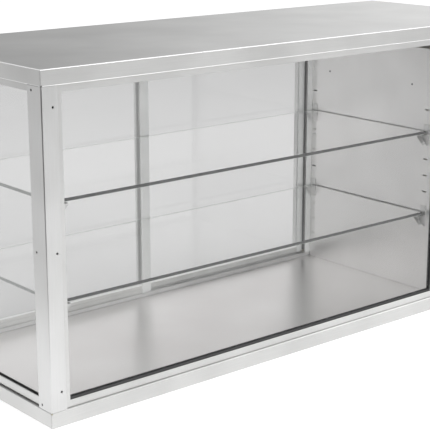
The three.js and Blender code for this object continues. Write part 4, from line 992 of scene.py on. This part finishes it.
# %% One screw in its hole
QUARTER = math.radians(90)
FACINGS = {
    "-y": ((QUARTER, 0, 0), Vector((0, -1, 0))),
    "+y": ((-QUARTER, 0, 0), Vector((0, 1, 0))),
    "-x": ((0, -QUARTER, 0), Vector((-1, 0, 0))),
    "+x": ((0, QUARTER, 0), Vector((1, 0, 0))),
}
screws = []


def screw(pattern, name, at, facing, material, depth):
    """A copy of the pattern whose middle lies this deep behind a face that looks out at facing."""
    turn, outward = FACINGS[facing]
    activate(pattern)
    bpy.ops.object.duplicate()
    piece = bpy.context.active_object
    screws.append(piece)
    piece.name = f"{name}_{len(screws)}"
    piece.rotation_euler = turn
    piece.location = place(*at) - outward * depth * MM
    settle()
    belongs(piece, material, "cabinet", "black_paint" if material is blackened else "steel")


# %% Screws of the posts
SUNK = 1.6
FROM_THE_SIDE = 21
FROM_THE_FRONT = 28.3
FRONT_ROW = 33.7
SIDE_ROW = 7.5

low, high = rule("front_left_post")
middle = (low.z + high.z) / 2
front_rows = (middle, low.z + FRONT_ROW, high.z - FRONT_ROW)
side_rows = (middle, low.z + SIDE_ROW, high.z - SIDE_ROW)
sides = ((0, FROM_THE_SIDE, "-x"), (case_wide, case_wide - FROM_THE_SIDE, "+x"))
faces = ((0, FROM_THE_FRONT, "-y"), (case_deep, case_deep - FROM_THE_FRONT, "+y"))
for side_x, x, side_facing in sides:
    for face_y, y, face_facing in faces:
        for z in front_rows:
            screw(socket, "post_screw", (x, face_y, z), face_facing, blackened, SUNK)
        for z in side_rows:
            screw(socket, "post_screw", (side_x, y, z), side_facing, blackened, SUNK)
print(len(screws), "screws hold the posts")

# %% Screws of the panels and the partition
PANEL_MARGIN = 9
POST_SHOWN = 31.5
WALL_SCREW_FRONT = 86.4
WALL_SCREW_REAR = 121.6
WALL_SCREW_DROP = 77.4

panel_low, panel_high = rule("front_service_panel")
mullion_right = rule("front_frame")[1].x
for x in (mullion_right + PANEL_MARGIN, case_wide - POST_SHOWN - PANEL_MARGIN):
    for z in (panel_low.z + PANEL_MARGIN, middle, panel_high.z - PANEL_MARGIN):
        screw(pan_head, "panel_screw", (x, panel_low.y, z), "-y", zinc, -DOME / 2)
        screw(pan_head, "panel_screw", (x, case_deep, z), "+y", zinc, DOME / 2)
for y in (WALL_SCREW_FRONT, case_deep - WALL_SCREW_REAR):
    at = (wall_low.x, y, wall_high.z - WALL_SCREW_DROP)
    screw(socket, "partition_screw", at, "-x", blackened, 0)
for pattern in (pan_head, socket):
    bpy.data.objects.remove(pattern)
print("with the panels and the partition there are", len(screws))

# %% [markdown]
# ### Controls
# The knob and the switch sit in a moulded pocket at the rear. The knob's flutes and rim are rounded,
# and a pale line on its face points at plain tick marks, with no numbers. Moulded edges are round all
# over, because a sharp one would chip the mould.

# %% Housing, knob and switch
soft_piece("control_housing", "moulded_control_housing", black_abs, 0.6 * MM, slot="black_plastic")
soft_piece("thermostat_knob", "fluted_knob", black_abs, 0.7 * MM, "knob", "black_plastic")
soft_piece("power_switch", "rocker", black_abs, 0.6 * MM, "rocker", "black_plastic")
soft_piece("cord_gland", "moulded_cord_gland", black_abs, 0.5 * MM, slot="black_plastic")

# %% The knob's pointer and its ticks
MARK_THICK = 0.5
MARK_ROUND = 0.12 * MM
POINTER_WIDTH = 1.6
POINTER_SHARE = 0.55
POINTER_START_SHARE = 0.35
TICKS = 10
SWEEP = math.radians(270)
TICK_LENGTH = 2.4
END_TICK_LENGTH = 3.5
TICK_WIDTH = 0.8
TICK_GAP = 1.8
TICK_LIFT = 0.2
FLOOR_BEHIND_KNOB = 13.3

knob_low, knob_high = rule("thermostat_knob")
knob_x, knob_z = (knob_low.x + knob_high.x) / 2, (knob_low.z + knob_high.z) / 2
knob_radius = (knob_high.z - knob_low.z) / 2


def marking(name, length, width, from_middle, angle, face, body):
    """A raised line that points away from the knob's middle, on a face that looks to the rear."""
    size = Vector((width, MARK_THICK, length)) * MM
    mark = block(name, size, (0, 0, (from_middle + length / 2) * MM))
    mark.rotation_euler.y = angle
    mark.location = place(knob_x, face, knob_z)
    settle()
    deburr(mark, MARK_ROUND)
    return belongs(mark, pale_print, body, "black_plastic")


marking(
    "knob_pointer", knob_radius * POINTER_SHARE, POINTER_WIDTH, knob_radius * POINTER_START_SHARE,
    0, knob_high.y, "knob")
pocket_floor = knob_high.y - FLOOR_BEHIND_KNOB
for i in range(TICKS):
    length = END_TICK_LENGTH if i in (0, TICKS - 1) else TICK_LENGTH
    marking(
        f"dial_tick_{i + 1}", length, TICK_WIDTH, knob_radius + TICK_GAP, SWEEP * i / (TICKS - 1),
        pocket_floor + TICK_LIFT, "cabinet")
print("the dial has", TICKS, "plain ticks")

# %% [markdown]
# ### The machine
# None of the machine shows in the photograph, but it shows through the louvres and when a panel is
# off. The compressor is a pressed can, so it is round at every rim. Pipes are smooth, and the fins
# are left as thin and sharp as fin stock is.

# %% Compressor, fans, drip tray, deck and pipes
def smooth_piece(node, name, material, width, angle, body, slot):
    """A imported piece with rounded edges, shaded smooth across bends up to an angle in degrees."""
    piece = packed_copy(node, name)
    deburr(piece, width)
    activate(piece)
    bpy.ops.object.shade_smooth_by_angle(angle=math.radians(angle))
    return belongs(piece, material, body, slot, node)


smooth_piece("compressor", "pressed_compressor", enamel, 0.9 * MM, 50, "cabinet", "black_paint")
MOULDED = [
    ("condenser_fan_shroud", "moulded_shroud", 0.8, 35, "cabinet"),
    ("condenser_fan_rotor", "moulded_condenser_rotor", 0.3, 50, "condenser_fan"),
    ("evaporator_fan_frame", "moulded_fan_frame", 0.5, 35, "cabinet"),
    ("evaporator_fan_rotor", "moulded_evaporator_rotor", 0.25, 50, "evaporator_fan"),
    ("drip_tray", "moulded_drip_tray", 0.7, 35, "cabinet"),
]
for node, name, rounding, angle, body in MOULDED:
    smooth_piece(node, name, black_abs, rounding * MM, angle, body, "black_plastic")
smooth_piece("fan_deck", "folded_fan_deck", satin_steel, DEBURR, 35, "cabinet", "steel")
for node in ("suction_pipe", "liquid_pipe"):
    smooth_piece(node, "drawn_" + node, copper, 0.2 * MM, 60, "cabinet", "copper")

# %% [markdown]
# ## The studio
# The case stands on a pale floor that runs far out. To the camera the floor and the surroundings are
# white, as in a catalogue photograph, and the floor still takes the shadow that grounds the case. In
# reflections and behind glass the floor is brightest near the case and greyer further out. All this
# is set by the kind of ray, so it adds no light to matt surfaces. Towards the camera the floor is
# dark to reflections, as a studio is there, and the case's near corner mirrors that as a thin line.

# %% Helpers for the studio
def maths(tree, operation, a, b, clamp=False):
    """One number made of two."""
    node = add(tree, "ShaderNodeMath", {}, {0: a, 1: b}, operation=operation, use_clamp=clamp)
    return node.outputs[0]


def fade(tree, value, start, end, near=0, far=1):
    """A soft change from near to far while the value runs from start to end."""
    settings = {"From Min": start, "From Max": end, "To Min": near, "To Max": far}
    node = add(
        tree, "ShaderNodeMapRange", settings, {"Value": value}, interpolation_type="SMOOTHSTEP")
    return node.outputs[0]


# %% The floor
FLOOR_SIZE = 60
OPEN_WHITE = 0.5
MIRRORED_NEAR = 0.52
MIRRORED_FAR = 0.16
MIRRORED_FADE = (0.7, 1.3)
GLAZED_NEAR = 0.1
GLAZED_FAR = 0
GLAZED_FADE = (0.6, 5)
CAMERA_SIDE = (-0.77, -0.64, 0)
DARK_FADE = (1.2, 1.6)

bpy.ops.mesh.primitive_plane_add(size=FLOOR_SIZE, location=(0, 0, 0))
floor = bpy.context.active_object
floor.name = "studio_floor"

paper, tree, where = new_finish("matt_white_studio_paper")
ray = add(tree, "ShaderNodeLightPath").outputs
matt = add(tree, "ShaderNodeBsdfDiffuse", {"Color": linear("#dedede")}).outputs[0]
distance = add(tree, "ShaderNodeVectorMath", {}, {0: where}, operation="LENGTH").outputs["Value"]
through_glass = fade(tree, distance, *GLAZED_FADE, GLAZED_NEAR, GLAZED_FAR)
mirrored = fade(tree, distance, *MIRRORED_FADE, MIRRORED_NEAR, MIRRORED_FAR)
open_air = add(
    tree, "ShaderNodeMix", {"B": OPEN_WHITE}, {"Factor": ray["Is Camera Ray"], "A": mirrored})
shown = add(
    tree, "ShaderNodeMix", {},
    {"Factor": ray["Is Transmission Ray"], "A": open_air.outputs[0], "B": through_glass})
glow = add(
    tree, "ShaderNodeEmission", {"Color": linear("#ffffff")}, {"Strength": shown.outputs[0]})
lit = add(tree, "ShaderNodeAddShader", {}, {0: matt, 1: glow.outputs[0]})
seen = maths(tree, "MAXIMUM", ray["Is Camera Ray"], ray["Is Transmission Ray"])
seen = maths(tree, "MAXIMUM", seen, ray["Is Glossy Ray"])
pale = add(tree, "ShaderNodeMixShader", {}, {0: seen, 1: matt, 2: lit.outputs[0]})
toward_camera = add(
    tree, "ShaderNodeVectorMath", {1: CAMERA_SIDE}, {0: where}, operation="DOT_PRODUCT")
far_side = fade(tree, toward_camera.outputs["Value"], *DARK_FADE)
only_mirrored = maths(
    tree, "SUBTRACT", ray["Is Glossy Ray"], ray["Is Transmission Ray"], clamp=True)
darkness = maths(tree, "MULTIPLY", far_side, only_mirrored)
unlit = add(tree, "ShaderNodeBsdfDiffuse", {"Color": linear("#1c1c1c")})
shaded = add(
    tree, "ShaderNodeMixShader", {}, {0: darkness, 1: pale.outputs[0], 2: unlit.outputs[0]})
floor.data.materials.append(surface(paper, shaded))
print("the floor is", FLOOR_SIZE, "m across")

# %% [markdown]
# The surroundings are a world of even white light. What metal mirrors is not quite even, though: a
# studio has darker corners, and it is those that give sheet metal its gradients. So for reflections
# the world is white towards the right front, and a soft grey towards the left and the rear.

# %% The world
AMBIENT = 0.8
BEHIND_GLASS = 0.86
BRIGHT_SIDE = (0.89, -0.45, 0)
BRIGHT_FADE = (0, 0.5)
MIRRORED_GREY = 0.41
MIRRORED_WHITE = 1.15

world = bpy.data.worlds.new("studio_world")
bpy.context.scene.world = world
world.use_nodes = True
tree = world.node_tree
tree.nodes.clear()
ray = add(tree, "ShaderNodeLightPath").outputs
seen = maths(tree, "MAXIMUM", ray["Is Camera Ray"], ray["Is Transmission Ray"])
direction = add(tree, "ShaderNodeTexCoord").outputs["Generated"]
toward_bright = add(
    tree, "ShaderNodeVectorMath", {1: BRIGHT_SIDE}, {0: direction}, operation="DOT_PRODUCT")
mirrored = fade(
    tree, toward_bright.outputs["Value"], *BRIGHT_FADE, MIRRORED_GREY, MIRRORED_WHITE)
level = add(
    tree, "ShaderNodeMix", {"A": AMBIENT}, {"Factor": ray["Is Glossy Ray"], "B": mirrored})
behind_glass = add(
    tree, "ShaderNodeMix", {"A": 1, "B": BEHIND_GLASS}, {"Factor": ray["Is Transmission Ray"]})
strength = add(
    tree, "ShaderNodeMix", {},
    {"Factor": seen, "A": level.outputs[0], "B": behind_glass.outputs[0]})
light = add(
    tree, "ShaderNodeBackground", {"Color": linear("#ffffff")}, {"Strength": strength.outputs[0]})
add(tree, "ShaderNodeOutputWorld", {}, {"Surface": light.outputs[0]})
print("the world lights matt surfaces at", AMBIENT)

# %% [markdown]
# A wide soft lamp stands in front, a little higher than the case, and lights the inside under the
# roof. Two weaker ones stand higher still, at the left and the right. All are broad, so that shadows
# stay soft. None shows through the glass, and metal doesn't mirror the front one, as when a lamp is
# screened.

# %% The lamps
MIDDLE_OF_CASE = Vector((0, 0, 0.3))


def softbox(name, where, size, watts):
    """A square lamp that faces the middle of the case and doesn't show through glass."""
    data = bpy.data.lights.new(name, "AREA")
    data.shape = "SQUARE"
    data.size = size
    data.energy = watts
    lamp = bpy.data.objects.new(name, data)
    bpy.context.scene.collection.objects.link(lamp)
    lamp.location = where
    lamp.rotation_euler = (MIDDLE_OF_CASE - Vector(where)).to_track_quat("-Z", "Y").to_euler()
    lamp.visible_transmission = False
    return lamp


key = softbox("key_softbox", (-1.6, -2.6, 3.0), 2.4, 12)
fill = softbox("fill_softbox", (2.8, -1.6, 2.2), 2.0, 15)
front = softbox("front_softbox", (-0.9, -3.4, 0.75), 1.4, 75)
front.visible_glossy = False
print("lamps:", key.data.energy, fill.data.energy, "and", front.data.energy, "watts")

# %% [markdown]
# The photograph was taken from the front left, from a little above the roof, with a long lens. The
# camera's place and turn were solved from the corners of the case in the picture.

# %% The camera
FILM = 36
FOCAL_LENGTH = 109.42
CAMERA_PLACE = (-1.7017, -1.9294, 0.8954)
CAMERA_LOOKS = (0.625, 0.7382, -0.2539)

camera_data = bpy.data.cameras.new("photograph_camera")
camera_data.sensor_width = FILM
camera_data.lens = FOCAL_LENGTH
camera = bpy.data.objects.new("photograph_camera", camera_data)
bpy.context.scene.collection.objects.link(camera)
camera.location = CAMERA_PLACE
camera.rotation_euler = Vector(CAMERA_LOOKS).to_track_quat("-Z", "Y").to_euler()
bpy.context.scene.camera = camera
print("the camera stands", round(camera.location.length, 2), "m from the case")

# %% [markdown]
# Last, the colours are shown as they are, with no film look.

bpy.context.scene.view_settings.view_transform = "Standard"
